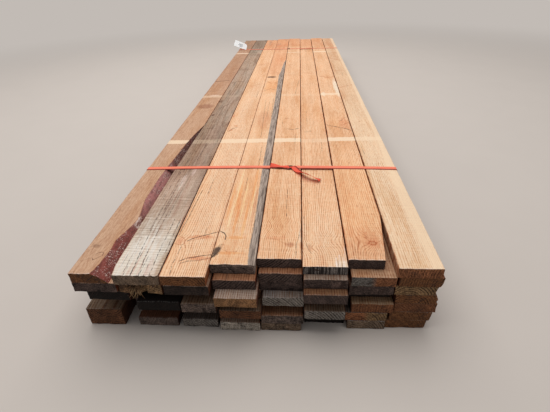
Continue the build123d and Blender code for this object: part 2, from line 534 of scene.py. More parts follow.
def add_saw_effect():
    """Marks of the saw across the boards, in patches."""
    sheet, given = new_effect("Saw Marks", Seed=0.0, Spacing=0.011, Tilt=0.06)
    x, y, z = sheet.split(sheet.place())
    tilted = x * given["Tilt"] + y
    beat = sheet.noise(sheet.join(given["Seed"], tilted * 14.0, 0.0), 1.0, 1.0)
    phase = tilted / given["Spacing"] + beat * 7.0
    tooth = sheet.math("SINE", phase * FULL_TURN) * 0.5 + 0.5
    grit = sheet.noise(sheet.join(x * 30.0, tilted * 260.0, z))
    patches = sheet.noise(sheet.join(x * 8.0, y * 2.6, given["Seed"]))
    finish_effect(sheet, Marks=(grit * 1.1 + tooth) * 0.5, Patches=sheet.ramp(patches, 0.38, 0.62))


def add_check_effect():
    """Long drying cracks along the grain, broken by noise into dashes like those where the saw's marks cross
    them.
    """
    sheet, given = new_effect("Drying Checks", Seed=0.0, Amount=0.5, Thin=0.06, Spacing=0.025)
    x, y, z = sheet.split(sheet.place())
    seed = given["Seed"]
    sway = sheet.noise(sheet.join(x * 6.0, y * 0.9, seed)) * 2.2
    fine_sway = sheet.noise(sheet.join(seed, y * 14.0, 0.0)) * 0.16
    level = (x + z) / given["Spacing"] + sway + fine_sway + seed
    lane = sheet.math("FLOOR", level)
    line = sheet.ramp(abs(sheet.math("FRACT", level) - 0.5), given["Thin"], given["Thin"] * 0.3)
    gate = 1.0 - given["Amount"]
    runs = sheet.noise(sheet.join(lane * 7.31, y * 1.7, seed), rough=0.6)
    dashes = sheet.noise(sheet.join(lane * 3.17, y * 42.0, seed), detail=1.0)
    cracks = line * sheet.ramp(runs, gate, gate + 0.05) * sheet.ramp(dashes, 0.38, 0.56, 0.12, 1.0)
    finish_effect(sheet, Cracks=cracks)


# Bands across the stack where stickers lay: how far back each is, and how it slants to the right.
# They are measured from a line that lies this far behind the nearest end of all
NEAREST_END = 40 * MM
BAND_SLANT = 0.034
BAND_HALF_WIDTH = 28 * MM
BAND_BLUR = 3 * MM
BAND_PLACES = {"Front": 1114 * MM, "Middle": 2044 * MM, "Rear": 3868 * MM}


def add_band_effect():
    """The three clean bands across the boards where stickers lay, each with its own strength."""
    sheet, given = new_effect("Sticker Bands", Front=1.0, Middle=0.3, Rear=0.3)
    place = sheet.place()
    x, y, _ = sheet.split(place)
    ragged = sheet.noise(place, 34.0, 4.0, 0.65) * 0.02 - 0.01
    back = y - x * BAND_SLANT - (cad_box[0].y + NEAREST_END) + ragged
    total = 0.0
    for name, middle in BAND_PLACES.items():
        band = sheet.ramp(abs(back - middle), BAND_HALF_WIDTH + BAND_BLUR, BAND_HALF_WIDTH - BAND_BLUR)
        total = band * given[name] + total
    speck = sheet.ramp(sheet.noise(place, 160.0), 0.25, 0.5, 0.65, 1.0)
    finish_effect(sheet, Bands=total * speck)


# How far from the far end the weathering starts to grow, and where it is full
FAR_START = 1600 * MM
FAR_FULL = 350 * MM


def add_weather_effect():
    """Gray film and dirt, thicker towards the far end."""
    sheet, given = new_effect("Weathering", Seed=0.0, Amount=0.3, Far=0.3)
    place = sheet.place()
    _, y, _ = sheet.split(place)
    shifted = place + sheet.join(given["Seed"], given["Seed"], 0.0)
    far_share = sheet.ramp(y, cad_box[1].y - FAR_START, cad_box[1].y - FAR_FULL)
    low = 0.85 - (far_share * given["Far"] + given["Amount"]) * 0.7
    finish_effect(
        sheet,
        Film=sheet.ramp(sheet.noise(shifted, (30.0, 3.2, 30.0), 4.0, 0.65), low, low + 0.3),
        Dirt=sheet.ramp(sheet.noise(shifted, (90.0, 30.0, 90.0), 5.0, 0.7), 0.55, 0.75),
    )


def add_end_effect():
    """The splits of a dried end, running out from the pith, its blotches, slots and slanting saw marks."""
    sheet, given = new_effect("Board End", Turn=0.0, Seed=0.0)
    place = sheet.place()
    seed = given["Seed"]
    x, _, z = sheet.split(place)
    split = sheet.noise(sheet.join(given["Turn"] * 11.0, seed, x * 3.0))
    slant = z * sheet.math("SINE", seed * 2.3) + x
    slots = sheet.noise(sheet.join(x * 200.0, seed, z * 16.0), detail=1.0)
    halves = sheet.noise(sheet.join(x * 11.0, seed, z * 11.0))
    finish_effect(
        sheet,
        Splits=sheet.ramp(abs(split - 0.5), 0.016, 0.004) * sheet.ramp(sheet.noise(place, 28.0), 0.46, 0.58),
        Blotches=sheet.noise(place, 36.0, 5.0, 0.75),
        Saw=sheet.noise(sheet.join(slant * 170.0, seed, z * 9.0), rough=0.4),
        Slots=sheet.ramp(slots, 0.50, 0.62),
        Halves=sheet.ramp(halves, 0.44, 0.58),
    )


def add_weave_effect():
    """Fine ribs along a strap, from how far along and across it a point lies."""
    sheet, given = new_effect("Strap Weave", Lay=ORIGIN, Rib=0.0012)
    along, across, _ = sheet.split(given["Lay"])
    rib = sheet.math("SINE", across / given["Rib"] * FULL_TURN)
    pick = sheet.math("SINE", along / given["Rib"] * pi)
    soil = sheet.noise(sheet.join(along * 14.0, across * 90.0, 0.0), 1.0, 4.0, 0.6)
    finish_effect(sheet, Ribs=rib * pick * 0.25 + 0.5, Soil=sheet.ramp(soil, 0.45, 0.75))


EFFECTS = (
    add_ring_effect,
    add_knot_effect,
    add_stroke_effect,
    add_patch_effect,
    add_saw_effect,
    add_check_effect,
    add_band_effect,
    add_weather_effect,
    add_end_effect,
    add_weave_effect,
)


# The top boards, as they lie from left to right. Every place on a board is given in millimetres to the
# right of its left edge and back from its near end


class Knot(NamedTuple):
    """A knot: its middle, its half sizes, and how far it pulls the rings aside over what spread."""

    across: float
    back: float
    wide: float
    long: float
    turn: float = 0.0
    heart: float = 0.6
    rim: float = 0.7
    pull: float = 12.0
    spread: tuple = (30, 50)
    tone: str = "ruddy"


def bend(across, back, pull, spread):
    """A place where the rings bend as if round a knot that doesn't reach the face."""
    return Knot(across, back, 2, 2, heart=0.0, rim=0.0, pull=pull, spread=spread)


def pin_knot(across, back, wide, long, pull=5):
    """A knot that is no more than a dot."""
    return Knot(across, back, wide, long, heart=0.5, rim=0.4, pull=pull)


class Stroke(NamedTuple):
    """A line through these points."""

    points: tuple
    width: float = 3.0
    # By default a line takes the colour of pockets and cracks; on a crack it is painted shade
    tone: str = "bark_and_crack_shade"
    share: float = 0.8
    broken: float = 0.5


class Patch(NamedTuple):
    """A patch of another tone: its middle and its half sizes."""

    across: float
    back: float
    wide: float
    long: float
    tone: str
    share: float = 0.5
    ragged: float = 0.8


class Look(NamedTuple):
    """What a top board looks like. Its pith lies so far to the right of its middle and below its top, and
    snug is how far its left side comes out towards its neighbour, all in millimetres."""

    wood: str
    pith: tuple
    rings: float = 1.1
    ring_share: float = 1.0
    weather: float = 0.12
    far: float = 0.35
    far_tone: tuple = ("ruddy", 0.3)
    saw: float = 0.2
    saw_even: float = 0.0
    side_shade: float = 1.0
    # How strong the painted seam shade along its side edges is
    rim: float = 0.85
    snug: float = 0.0
    fuzz: float = 0.35
    checks: float = 0.36
    bands: tuple = (0.9, 0.25, 0.25)
    strip: tuple = ()
    strip_kind: str = ""
    knots: tuple = ()
    strokes: tuple = ()
    patches: tuple = ()


# A strip's inner edge: how far back from the near end, how far in from the board's left edge
RED_WANE = [
    (0, 74), (50, 85), (130, 91), (185, 87), (265, 108), (315, 118), (370, 112), (470, 94),
    (650, 91), (780, 94), (875, 101), (1120, 113), (1296, 134), (1400, 152), (4900, 152),
]
# How far the second board's left side bulges over that wane, at each distance from its near end
BULGE = [(0, 4), (60, 12), (750, 13), (1150, 9), (1300, 4), (1430, 0), (4900, 0)]
GRAY_WANE = [
    (0, 129), (80, 124), (200, 126), (340, 125), (420, 122), (500, 120), (700, 117), (1430, 114),
    (1880, 115), (2690, 108), (2800, 118), (3230, 136), (3400, 152), (4900, 152),
]
SAPWOOD = [(0, 108), (150, 103), (430, 98), (600, 102), (820, 106), (1080, 117), (2500, 122), (4900, 112)]

TOP_LOOKS = [
    Look(
        "tan", (-105, 120), rings=0.3, ring_share=1.2, weather=0.25, far=0.45, far_tone=("stain", 0.25),
        saw=0.12, checks=0.2, bands=(0.85, 0.4, 0.6), strip=RED_WANE, strip_kind="paint",
        knots=(
            bend(59, 93, 16, (26, 34)), Knot(28, 148, 17, 11, heart=0.45, rim=0.2, tone="stain"),
        ),
        strokes=(
            Stroke(
                ((46, 102), (61, 114), (73, 111), (75, 95), (62, 80), (53, 72), (43, 83)),
                2.6, "soil", 0.75, 0.2,
            ),
            Stroke(((55, 96), (66, 103)), 2.6, "stain", 0.5),
            Stroke(((43, 83), (22, 72), (16, 60)), 2.6, "stain", 0.5),
            Stroke(((10, 2530), (47, 2540), (124, 2560)), 14, "soil", 0.9, 0.2),
            Stroke(((30, 2200), (110, 2230)), 9, "stain", 0.5),
            Stroke(((60, 2840), (130, 2870)), 12, "stain", 0.6),
        ),
        patches=(
            Patch(74, 1795, 70, 62, "stain", 0.5), Patch(85, 2078, 42, 24, "bleach", 0.45),
            Patch(76, 3500, 400, 1500, "stain", 0.22, 0.9),
            Patch(76, 4000, 400, 1100, "weather", 0.25, 0.6), Patch(75, 3900, 78, 26, "bleach", 0.4),
        ),
    ),
    Look(
        "gray", (60, 210), rings=0.9, weather=0.6, far=0.5, far_tone=("stain", 0.3), saw=1.0,
        saw_even=0.55, checks=0.5, bands=(0.25, 0.1, 0.1),
        knots=(
            Knot(12, 1920, 18, 30, heart=0.5, rim=0.6, tone="soil"),
        ),
        strokes=(
            Stroke(((57, 4), (56, 39), (48, 167), (41, 282), (39, 420)), 2.8, share=0.85, broken=0.75),
            Stroke(((86, 4), (76, 105), (73, 254), (72, 360)), 2.8, share=0.85, broken=0.75),
            Stroke(((123, 4), (116, 121), (116, 219), (114, 330)), 2.8, share=0.85, broken=0.75),
            Stroke(((30, 8), (27, 130), (22, 210)), 2.4, share=0.6, broken=0.85),
            Stroke(((104, 8), (98, 100)), 2.4, share=0.6, broken=0.85),
            Stroke(((140, 120), (138, 330)), 3, broken=0.7),
            Stroke(((50, 400), (47, 620)), 3, broken=0.7),
            Stroke(((25, 690), (27, 900)), 3.5, broken=0.6),
            Stroke(((75, 880), (78, 1120)), 3.5, broken=0.6),
            Stroke(((10, 2480), (64, 2530), (140, 2500)), 12, "soil", 0.7),
            Stroke(((30, 1740), (97, 1875)), 8, "soil", 0.6),
            Stroke(((20, 2980), (130, 3030)), 14, "soil", 0.6),
            Stroke(((5, 1330), (60, 1350)), 6, "soil", 0.6),
            Stroke(((151, 4), (151, 900)), 2.4, share=0.9, broken=0.3),
        ),
        patches=(
            Patch(76, 380, 220, 400, "bleach", 0.3, 1.1), Patch(70, -60, 190, 400, "bleach", 0.82, 1.5),
            Patch(76, 640, 200, 300, "stain", 0.22, 1.2),
            Patch(76, 1080, 220, 450, "weather_dark", 0.34, 1.1),
            Patch(76, 1800, 220, 500, "weather_dark", 0.22, 1.1), Patch(150, 60, 16, 90, "weather", 0.7),
            Patch(152, 300, 10, 160, "stain", 0.5), Patch(62, 640, 14, 90, "bleach", 0.5),
            Patch(90, 760, 10, 60, "bleach", 0.5), Patch(15, 1604, 12, 26, "soil", 0.7),
            Patch(76, 3300, 170, 1300, "weather_dark", 0.12, 1.2),
        ),
    ),
    Look(
        "orange", (-110, 70), ring_share=1.08, far=0.45, far_tone=("ruddy", 0.35), rim=0.55,
        bands=(0.8, 0.1, 0.1),
        knots=(
            Knot(25, 185, 8, 12, heart=0.2, rim=0.0, pull=14, spread=(30, 40)),
        ),
        strokes=(
            Stroke(
                ((47, 190), (64, 205), (85, 216), (109, 227), (128, 237), (156, 250)),
                3.6, "soil", 0.95, 0.1,
            ),
            Stroke(((48, 186), (74, 196), (98, 205), (121, 220)), 3, "ruddy", 0.6, 0.2),
            Stroke(((49, 77), (70, 92), (97, 100), (125, 108), (156, 114)), 3.8, "soil", 0.85, 0.1),
            Stroke(((53, 64), (76, 77), (102, 80), (134, 90), (156, 96)), 3.6, "stain", 0.7, 0.2),
            Stroke(
                ((2, 219), (23, 211), (38, 194), (39, 169), (21, 166), (3, 174)),
                3, "ruddy", 0.6, 0.3,
            ),
            Stroke(((34, 169), (32, 129), (29, 62), (34, 8)), 2.6, share=0.7, broken=0.8),
            Stroke(((6, 225), (12, 330), (17, 480), (20, 560)), 3, broken=0.35),
            Stroke(((20, 1290), (37, 1334), (63, 1361)), 8, "stain", 0.55),
            Stroke(((30, 1680), (60, 1700)), 8, "ruddy", 0.5),
            Stroke(((40, 2350), (120, 2420)), 12, "ruddy", 0.5),
            Stroke(((20, 3200), (130, 3290)), 18, "ruddy", 0.5),
        ),
        patches=(
            Patch(112, 93, 44, 13, "ruddy", 0.5), Patch(90, 214, 56, 13, "ruddy", 0.45),
            Patch(22, 190, 18, 22, "ruddy", 0.3), Patch(32, 1313, 12, 16, "ruddy", 0.6),
            Patch(53, 1383, 12, 14, "ruddy", 0.6), Patch(11, 1578, 10, 18, "ruddy", 0.6),
            Patch(76, 1100, 400, 1500, "bleach", 0.11, 0.4),
        ),
    ),
    Look(
        "orange", (150, 100), rings=0.6, far=0.4, far_tone=("ruddy", 0.45), rim=0.4, snug=1.5,
        bands=(0.85, 0.15, 0.1), strip=GRAY_WANE, strip_kind="wane",
        knots=(
            Knot(11, 74, 12, 33, turn=-14, heart=0.9, rim=0.8, tone="bark_and_crack_shade"),
            Knot(40, 2610, 44, 28, heart=0.95, rim=0.6, pull=18, tone="soil"),
            bend(28, 130, 16, (34, 50)),
        ),
        strokes=(
            Stroke(((-2, 192), (8, 188), (21, 178), (29, 160), (31, 139)), 4.2, "bark_and_crack_shade", 0.95, 0.1),
            Stroke(((12, 58), (1, 38)), 5, share=0.85, broken=0.1),
            Stroke(((30, 111), (40, 77), (52, 67), (80, 67), (87, 95)), 3, "ruddy", 0.6),
            # A painted shadow line where the gray wane strip starts to fall away
            Stroke(((124, 400), (124, 120), (128, 6)), 3, share=0.4),
            Stroke(((74, 1133), (47, 1881)), 3.5, share=0.5),
            Stroke(((96, 700), (92, 1000)), 2.6, share=0.6),
            Stroke(((60, 500), (56, 620)), 2.6, share=0.5),
            Stroke(((18, 2440), (50, 2385), (96, 2400), (120, 2350)), 10, "ruddy", 0.75, 0.2),
            Stroke(((16, 2150), (60, 2205), (112, 2150)), 8, "stain", 0.5, 0.3),
            Stroke(((113, 1487), (108, 1700), (103, 1920)), 4, share=0.6, broken=0.3),
            Stroke(((81, 1487), (78, 1840)), 3.5, share=0.5),
            Stroke(((20, 2760), (118, 2790)), 12, "ruddy", 0.5),
        ),
        patches=(
            Patch(64, 40, 90, 150, "amber", 0.2), Patch(70, 60, 200, 300, "bleach", 0.08, 0.6),
            Patch(41, 458, 8, 170, "amber", 0.62), Patch(52, 290, 7, 140, "amber", 0.62),
            Patch(87, 265, 7, 150, "amber", 0.62), Patch(12, 416, 7, 170, "amber", 0.55),
            Patch(98, 597, 8, 200, "amber", 0.62), Patch(114, 360, 7, 170, "stain", 0.3),
            Patch(66, 420, 6, 190, "fresh", 0.55), Patch(30, 560, 5, 190, "fresh", 0.5),
            Patch(26, 300, 5, 130, "fresh", 0.45), Patch(104, 420, 5, 170, "fresh", 0.45),
            Patch(66, 150, 34, 12, "amber", 0.6), Patch(60, 62, 50, 9, "amber", 0.6),
            Patch(62, 2300, 60, 230, "amber", 0.45, 1.4), Patch(70, 1450, 60, 180, "stain", 0.2),
            Patch(70, 3500, 400, 900, "ruddy", 0.25, 0.6),
        ),
    ),
    Look(
        "orange", (150, 60), ring_share=1.1, far=0.25, bands=(0.95, 0.3, 0.5),
        knots=(
            Knot(112, 78, 16, 15, heart=0.55, rim=0.3), Knot(60, 1420, 14, 12, heart=0.3, rim=0.4),
            bend(60, 190, 24, (70, 44)),
        ),
        strokes=(
            Stroke(((21, 122), (50, 112), (72, 104), (94, 84)), 6, "ruddy", 0.3, 0.4),
            Stroke(((150, 177), (142, 124), (134, 82), (132, 6)), 2.2, share=0.7, broken=0.5),
            Stroke(((154, 140), (148, 60)), 2, share=0.5, broken=0.6),
            Stroke(((67, 1233), (104, 1219), (137, 1240)), 8, "stain", 0.7),
            Stroke(((110, 1974), (141, 2449)), 3.5, share=0.6),
        ),
        patches=(
            Patch(149, 140, 7, 60, "bleach", 0.3), Patch(60, 118, 44, 10, "ruddy", 0.2),
        ),
    ),
    Look(
        "orange", (-150, 70), ring_share=1.15, far=0.25, rim=0.7, snug=0.8, bands=(0.35, 0.1, 0.1),
        knots=(
            Knot(24, 100, 7, 22, heart=0.35, rim=0.3, pull=22, spread=(25, 30)),
            bend(95, 140, 26, (42, 46)), pin_knot(29, 399, 4, 4, 4), pin_knot(12, 811, 3, 6, 4),
        ),
        strokes=(
            Stroke(
                ((5, 300), (7, 243), (9, 170), (18, 96), (30, 70), (26, 40)),
                2.4, share=0.5, broken=0.85,
            ),
            Stroke(((21, 1220), (60, 1236)), 7, "stain", 0.6),
            Stroke(((40, 2787), (106, 2750)), 12, "ruddy", 0.6),
            Stroke(((112, 0), (114, 46)), 5, "bleach", 0.5),
            Stroke(((122, 0), (125, 60)), 5, "bleach", 0.5),
            Stroke(((136, 0), (137, 48)), 5, "bleach", 0.5),
            Stroke(((117, 0), (119, 40)), 2.6, share=0.6), Stroke(((130, 0), (131, 52)), 2.6, share=0.6),
            Stroke(((144, 20), (146, 110)), 3, "bleach", 0.3),
        ),
        patches=(
            Patch(76, 60, 300, 290, "bleach", 0.12, 0.5), Patch(130, 6, 26, 34, "bleach", 0.35),
        ),
    ),
    Look(
        "orange", (150, 80), ring_share=1.15, far=0.25, far_tone=("ruddy", 0.25), bands=(0.95, 0.7, 0.9),
        knots=(
            Knot(94, 94, 15, 15, heart=0.35, rim=0.0, pull=30, spread=(42, 48)),
            Knot(77, 128, 7, 5, heart=0.4, rim=0.3), pin_knot(71, 340, 4, 4), pin_knot(74, 499, 4, 4),
            pin_knot(125, 841, 4, 6), pin_knot(84, 745, 5, 5),
        ),
        strokes=(
            Stroke(
                ((80, 92), (87, 103), (101, 103), (108, 93), (102, 82), (88, 82), (80, 92)),
                4.6, "ruddy", 0.9, 0.1,
            ),
            Stroke(((62, 94), (80, 92)), 4, "ruddy", 0.5),
            Stroke(((107, 93), (128, 108)), 3, "ruddy", 0.5),
            Stroke(((113, 217), (132, 145), (134, 104)), 3, "ruddy", 0.4),
            Stroke(((2, 1300), (58, 1262), (110, 1236), (153, 1190)), 9, "stain", 0.75),
            Stroke(((100, 1370), (135, 1440)), 7, "stain", 0.6),
            Stroke(((100, 1290), (140, 1330)), 8, "ruddy", 0.7),
            Stroke(((30, 2570), (90, 2530), (145, 2553)), 14, "ruddy", 0.8),
        ),
        patches=(
            Patch(138, 2195, 24, 290, "bleach", 0.7), Patch(24, 1990, 18, 62, "bleach", 0.6),
            Patch(70, 60, 110, 150, "stain", 0.16), Patch(70, 420, 200, 380, "amber", 0.3),
            Patch(122, 1320, 36, 120, "ruddy", 0.3), Patch(94, 94, 30, 34, "ruddy", 0.22),
        ),
    ),
    Look(
        "pale", (-140, 150), rings=0.65, ring_share=0.8, far=0.3, far_tone=("ruddy", 0.2),
        side_shade=0.55, bands=(0.6, 0.1, 0.2), strip=SAPWOOD, strip_kind="sapwood",
        knots=(
            Knot(51, 762, 9, 7, heart=0.05, rim=0.3, pull=8), Knot(60, 1390, 6, 4, heart=0.6, rim=0.6),
        ),
        strokes=(
            Stroke(((0, 2210), (123, 2309)), 12, "ruddy", 0.5),
            Stroke(((21, 2829), (159, 2865)), 14, "ruddy", 0.6),
            Stroke(((3, 3455), (127, 3316)), 18, "ruddy", 0.6),
        ),
        patches=(
            Patch(76, 3300, 400, 1900, "stain", 0.22, 0.4),
        ),
    ),
]

# How the ends look, in layers from the top down and from left to right: colours as displayed. Two names
# with a bar between them are the left and the right half of one end
END_FINISHES = {
    "bay": (80, 52, 35),
    "chestnut": (92, 60, 37),
    "brown": (100, 64, 42),
    "umber": (112, 72, 48),
    "rust": (120, 88, 60),
    "moss": (88, 66, 46),
    "olive": (108, 85, 60),
    "slate": (98, 82, 68),
    "gray": (98, 93, 88),
    "ash": (138, 130, 120),
    "flint": (104, 98, 94),
    "coal": (84, 72, 66),
    "dusk": (66, 54, 50),
    "char": (40, 32, 29),
    # Painted shade: the darkest tone, for ends set far back that lie in deep shade
    "soot": (18, 13, 11),
}
END_ROWS = [
    "chestnut slate chestnut coal dusk flint dusk umber",
    "dusk moss|olive char dusk dusk dusk gray|umber chestnut",
    "soot soot soot rust dusk dusk dusk olive",
    "soot soot coal bay gray coal char chestnut",
    "soot soot coal bay dusk gray brown brown",
    "bay dusk soot bay coal coal umber|olive chestnut",
    "bay coal gray ash slate soot slate chestnut",
]

# How an end's grain runs: its pith's place to the right of its middle and above it, in millimetres,
# and the strength of its rings, its upright slots and its mottling
GRAINS = {
    "smooth": ((-120, -90), (0.3, 0.0, 0.45)),
    "upright": ((170, -15), (0.55, 0.15, 0.3)),
    "slots": ((150, 10), (0.2, 1.0, 0.3)),
    "rise": ((-130, 130), (1.0, 0.1, 0.3)),
    "fall": ((-130, -130), (1.0, 0.1, 0.4)),
    "arch": ((-25, -45), (0.9, 0.1, 0.4)),
    "bowl": ((20, 60), (0.9, 0.1, 0.4)),
    "mottled": ((0, -160), (0.5, 0.15, 1.0)),
}
GRAIN_ROWS = [
    "smooth smooth arch mottled rise slots smooth upright",
    "mottled mottled mottled rise rise mottled smooth upright",
    "smooth smooth smooth smooth mottled smooth mottled arch",
    "smooth smooth mottled smooth fall smooth smooth arch",
    "smooth smooth smooth bowl mottled fall upright smooth",
    "smooth smooth smooth smooth mottled smooth arch smooth",
    "bowl mottled arch mottled mottled smooth arch smooth",
]
SIDE_FINISHES = {
    "pale": (218, 184, 156),
    "blush": (162, 142, 128),
    "tan": (186, 146, 114),
    "fresh": (148, 102, 72),
    "sandy": (156, 128, 100),
    "hazel": (146, 106, 78),
    "dull": (152, 130, 114),
    "gray": (130, 122, 118),
    "drab": (116, 96, 78),
    "brown": (122, 88, 62),
    "bay": (98, 62, 42),
    "dim": (84, 74, 68),
    # Painted shade: the darkest tone, for the faces of boards set far back in deep shade
    "black": (20, 14, 12),
}
SIDE_ROWS = [
    "drab dull fresh fresh fresh fresh fresh fresh",
    "pale sandy dull fresh fresh dull tan fresh",
    "brown black black blush dull brown dull brown",
    "dull black drab dull gray brown dull brown",
    "dim black dull drab brown drab sandy brown",
    "dim bay dull brown hazel brown dim brown",
    "drab bay dim dull gray dim gray brown",
]


# Materials

# What a board's wood is multiplied by, as a shader takes it: red, green and blue
LATE_TINT = (0.60, 0.38, 0.25)
CLOUD_TINT = (0.88, 0.74, 0.60)
SCORED_TINT = (0.48, 0.42, 0.37)
SOILED_TINT = (0.55, 0.44, 0.36)
# Painted shade: the dashes along a board's side edges that darken its seams
SEAM_SHADE_TINT = (0.50, 0.22, 0.11)
# Painted shade: sides that darken downwards into the gaps between boards
SIDE_SHADE_TINT = (0.40, 0.23, 0.14)
# Painted shade: lower faces darker and redder where the next board lies on them
COVERED_SHADE_TINT = (0.55, 0.26, 0.14)
KNOT_RIM_TINT = (0.62, 0.50, 0.42)
OLD_STREAK_TINT = (0.36, 0.34, 0.33)
END_COOL_TINT = (0.86, 0.88, 0.90)
END_DARK_TINT = (0.20, 0.18, 0.18)
END_LIGHT_TINT = (2.4, 2.3, 2.2)
# How far a crack's painted shade darkens the wood
CRACK_SHARE = 0.85

# How far back from its near end the red paint starts and ends to fade, and to darken, and where its one
# bare place is
PAINT_FADE = (150 * MM, 500 * MM)
PAINT_DARKENS = (650 * MM, 950 * MM)
PAINT_BARE = 318 * MM

# How far inside a lower board's near end and side its face starts and ends to lie under the next board,
# where painted shade darkens it
COVERED_BACK = (130 * MM, 200 * MM)
COVERED_SIDE = (4 * MM, 10 * MM)

# How fast an end of two tones turns from one to the other, and the range of its pith's random shift
HALVES_SHARPNESS = 8
SHIFTS = (20, 90)


def fir_tone(name):
    """One of the boards' colours, as a shader takes it."""
    return linear(getattr(bpy.context.scene.fir_colours, name))


def strap_tone(name):
    """One of the colours of the straps and what is on them, as a shader takes it."""
    return linear(getattr(bpy.context.scene.strap_colours, name))


def shade_value(display_rgb):
    """The shader's value of a colour displayed from 0 to 255."""
    return np.array(linear([channel / 255 for channel in display_rgb])[:3])


def finish_marks(layer, column, low, high, points, random):
    """The marks that tell the shaders how a board's ends and sides look."""
    names = END_ROWS[layer].split()[column].split("|")
    left, right = (shade_value(END_FINISHES[name]) for name in (names[0], names[-1]))
    place = (points[:, 0] - low.x) / (high.x - low.x)
    share = np.clip((place - 0.5) * HALVES_SHARPNESS + 0.5, 0, 1)[:, None]
    (across, above), finish = GRAINS[GRAIN_ROWS[layer].split()[column]]
    middle = (low + high) / 2
    return {
        "end_tone": left + (right - left) * share,
        "side_tone": shade_value(SIDE_FINISHES[SIDE_ROWS[layer].split()[column]]),
        "end_pith": (middle.x + across * MM, middle.z + above * MM, random.uniform(*SHIFTS)),
        "finish": finish,
    }


def new_material(name):
    """A material and its sheet, with a Principled shader that is already linked."""
    material = bpy.data.materials.new(name)
    material.use_nodes = True
    sheet = Sheet(material.node_tree)
    shader = sheet.node("ShaderNodeBsdfPrincipled")
    output = sheet.node("ShaderNodeOutputMaterial")
    sheet.feed(output.inputs["Surface"], shader.outputs["BSDF"])
    return material, sheet, shader


def finish_surface(sheet, shader, cover, height, depth, rough, shine=0.5):
    """Gives a shader its colour, its roughness and shine, and a relief so many metres deep."""
    relief = sheet.node("ShaderNodeBump")
    relief.inputs["Strength"].default_value = 1.0
    relief.inputs["Distance"].default_value = depth
    sheet.feed(relief.inputs["Height"], height)
    sheet.feed(shader.inputs["Normal"], relief.outputs["Normal"])
    sheet.feed(shader.inputs["Base Color"], cover)
    sheet.feed(shader.inputs["Roughness"], rough)
    shader.inputs["Specular IOR Level"].default_value = shine


def shade_wood(sheet, early, look, seed, pull=0.0, low=None):
    """Rings, fibres, saw marks and weathering on sawn wood. Gives its colour, height and cracks."""
    place = sheet.place()
    rings = sheet.use(
        "Fir Rings",
        Pith=sheet.mark("pith"),
        Pull=pull,
        Ring_Width=bpy.context.scene.fir_sizes.ring_width * look.ring_share,
        Early_Share=0.45,
    )
    saw = sheet.use("Saw Marks", Seed=seed)
    weather = sheet.use("Weathering", Seed=seed, Amount=look.weather, Far=look.far)
    cracks = sheet.use("Drying Checks", Seed=seed, Amount=look.checks)["Cracks"]
    marks = saw["Marks"] * sheet.math("MAXIMUM", saw["Patches"], look.saw_even)
    dashes = sheet.ramp(sheet.noise(place, (140.0, 24.0, 140.0)), 0.36, 0.62, 0.6, 1.25)
    lines = rings["Late Wood"] * sheet.ramp(saw["Marks"], 0.0, 1.0, 0.45, 1.25) * dashes
    wood = sheet.dye(lines * look.rings, early, LATE_TINT)
    wood = sheet.dye(sheet.ramp(rings["Cloud"], 0.42, 0.72, 0.0, 0.8), wood, CLOUD_TINT)
    film = weather["Film"] * sheet.ramp(rings["Fibres"], 0.2, 0.7, 1.0, 0.55)
    wood = sheet.mix(film, wood, sheet.mix(lines * 0.8, fir_tone("weather"), fir_tone("weather_dark")))
    if low is not None:
        wood = draw_patches(sheet, wood, look, low)
    fibre = sheet.ramp(rings["Fibres"], 0.28, 0.72, 0.20, 0.80)
    wood = sheet.mix(0.5, wood, sheet.even(fibre), "SOFT_LIGHT")
    grit = sheet.ramp(sheet.noise(place, (190.0, 55.0, 190.0), 3.0, 0.7), 0.35, 0.68, 0.26, 0.74)
    wood = sheet.mix(0.45, wood, sheet.even(grit), "SOFT_LIGHT")
    wood = sheet.dye(marks * look.saw, wood, SCORED_TINT)
    wood = sheet.dye(weather["Dirt"] * (0.3 + 0.35 * look.weather), wood, SOILED_TINT)
    wood = wear_edges(sheet, wood, look)
    height = rings["Late Wood"] * 0.35 + rings["Fibres"] * 0.45 - marks * (0.5 * look.saw + 0.15) - cracks
    return wood, height, cracks


def wear_edges(sheet, wood, look):
    """Pale fuzz at a board's near edge, painted seam shade in dashes along its side edges, and painted shade
    that darkens its sides downwards.
    """
    place = sheet.place()
    side, back, depth = sheet.split(sheet.mark("inset"))
    torn = sheet.ramp(sheet.noise(place, (330.0, 40.0, 90.0)), 0.4, 0.6)
    fuzz = sheet.ramp(back, 7 * MM, 2 * MM) * sheet.ramp(depth, 3 * MM, 1 * MM) * torn
    wood = sheet.mix(fuzz * look.fuzz, wood, fir_tone("bleach"))
    dashes = sheet.ramp(sheet.noise(place, (20.0, 30.0, 20.0), 3.0, 0.6), 0.46, 0.60, 0.4, 1.0)
    # Painted seam shade in dashes along the side edges
    wood = sheet.dye(sheet.ramp(side, 3.5 * MM, 1 * MM) * dashes * look.rim, wood, SEAM_SHADE_TINT)
    # Painted shade that darkens the sides downwards, as in the gaps between boards
    return sheet.dye(sheet.ramp(depth, 2 * MM, 9 * MM, 0.0, look.side_shade), wood, SIDE_SHADE_TINT)


def on_board(low, across, back):
    """A place on a board as a group takes it."""
    return (low.x + across * MM, low.y + back * MM, 0.0)


def half_sizes(wide, long):
    """Half sizes as a group takes them."""
    return (wide * MM, long * MM, 1.0)


def draw_patches(sheet, wood, look, low):
    """Puts a board's patches of other tones on its wood, and one more over its far end."""
    far_end = Patch(76, 4620, 400, 480, *look.far_tone, ragged=0.3)
    for patch in (*look.patches, far_end):
        made = sheet.use(
            "Fir Patch",
            Centre=on_board(low, patch.across, patch.back),
            Reach=half_sizes(patch.wide, patch.long),
            Ragged=patch.ragged,
        )
        tone = fir_tone(patch.tone)
        tone = sheet.mix(0.5, tone, sheet.mix(1.0, wood, tone, "OVERLAY"))
        wood = sheet.mix(made["Patch"] * patch.share, wood, tone)
    return wood


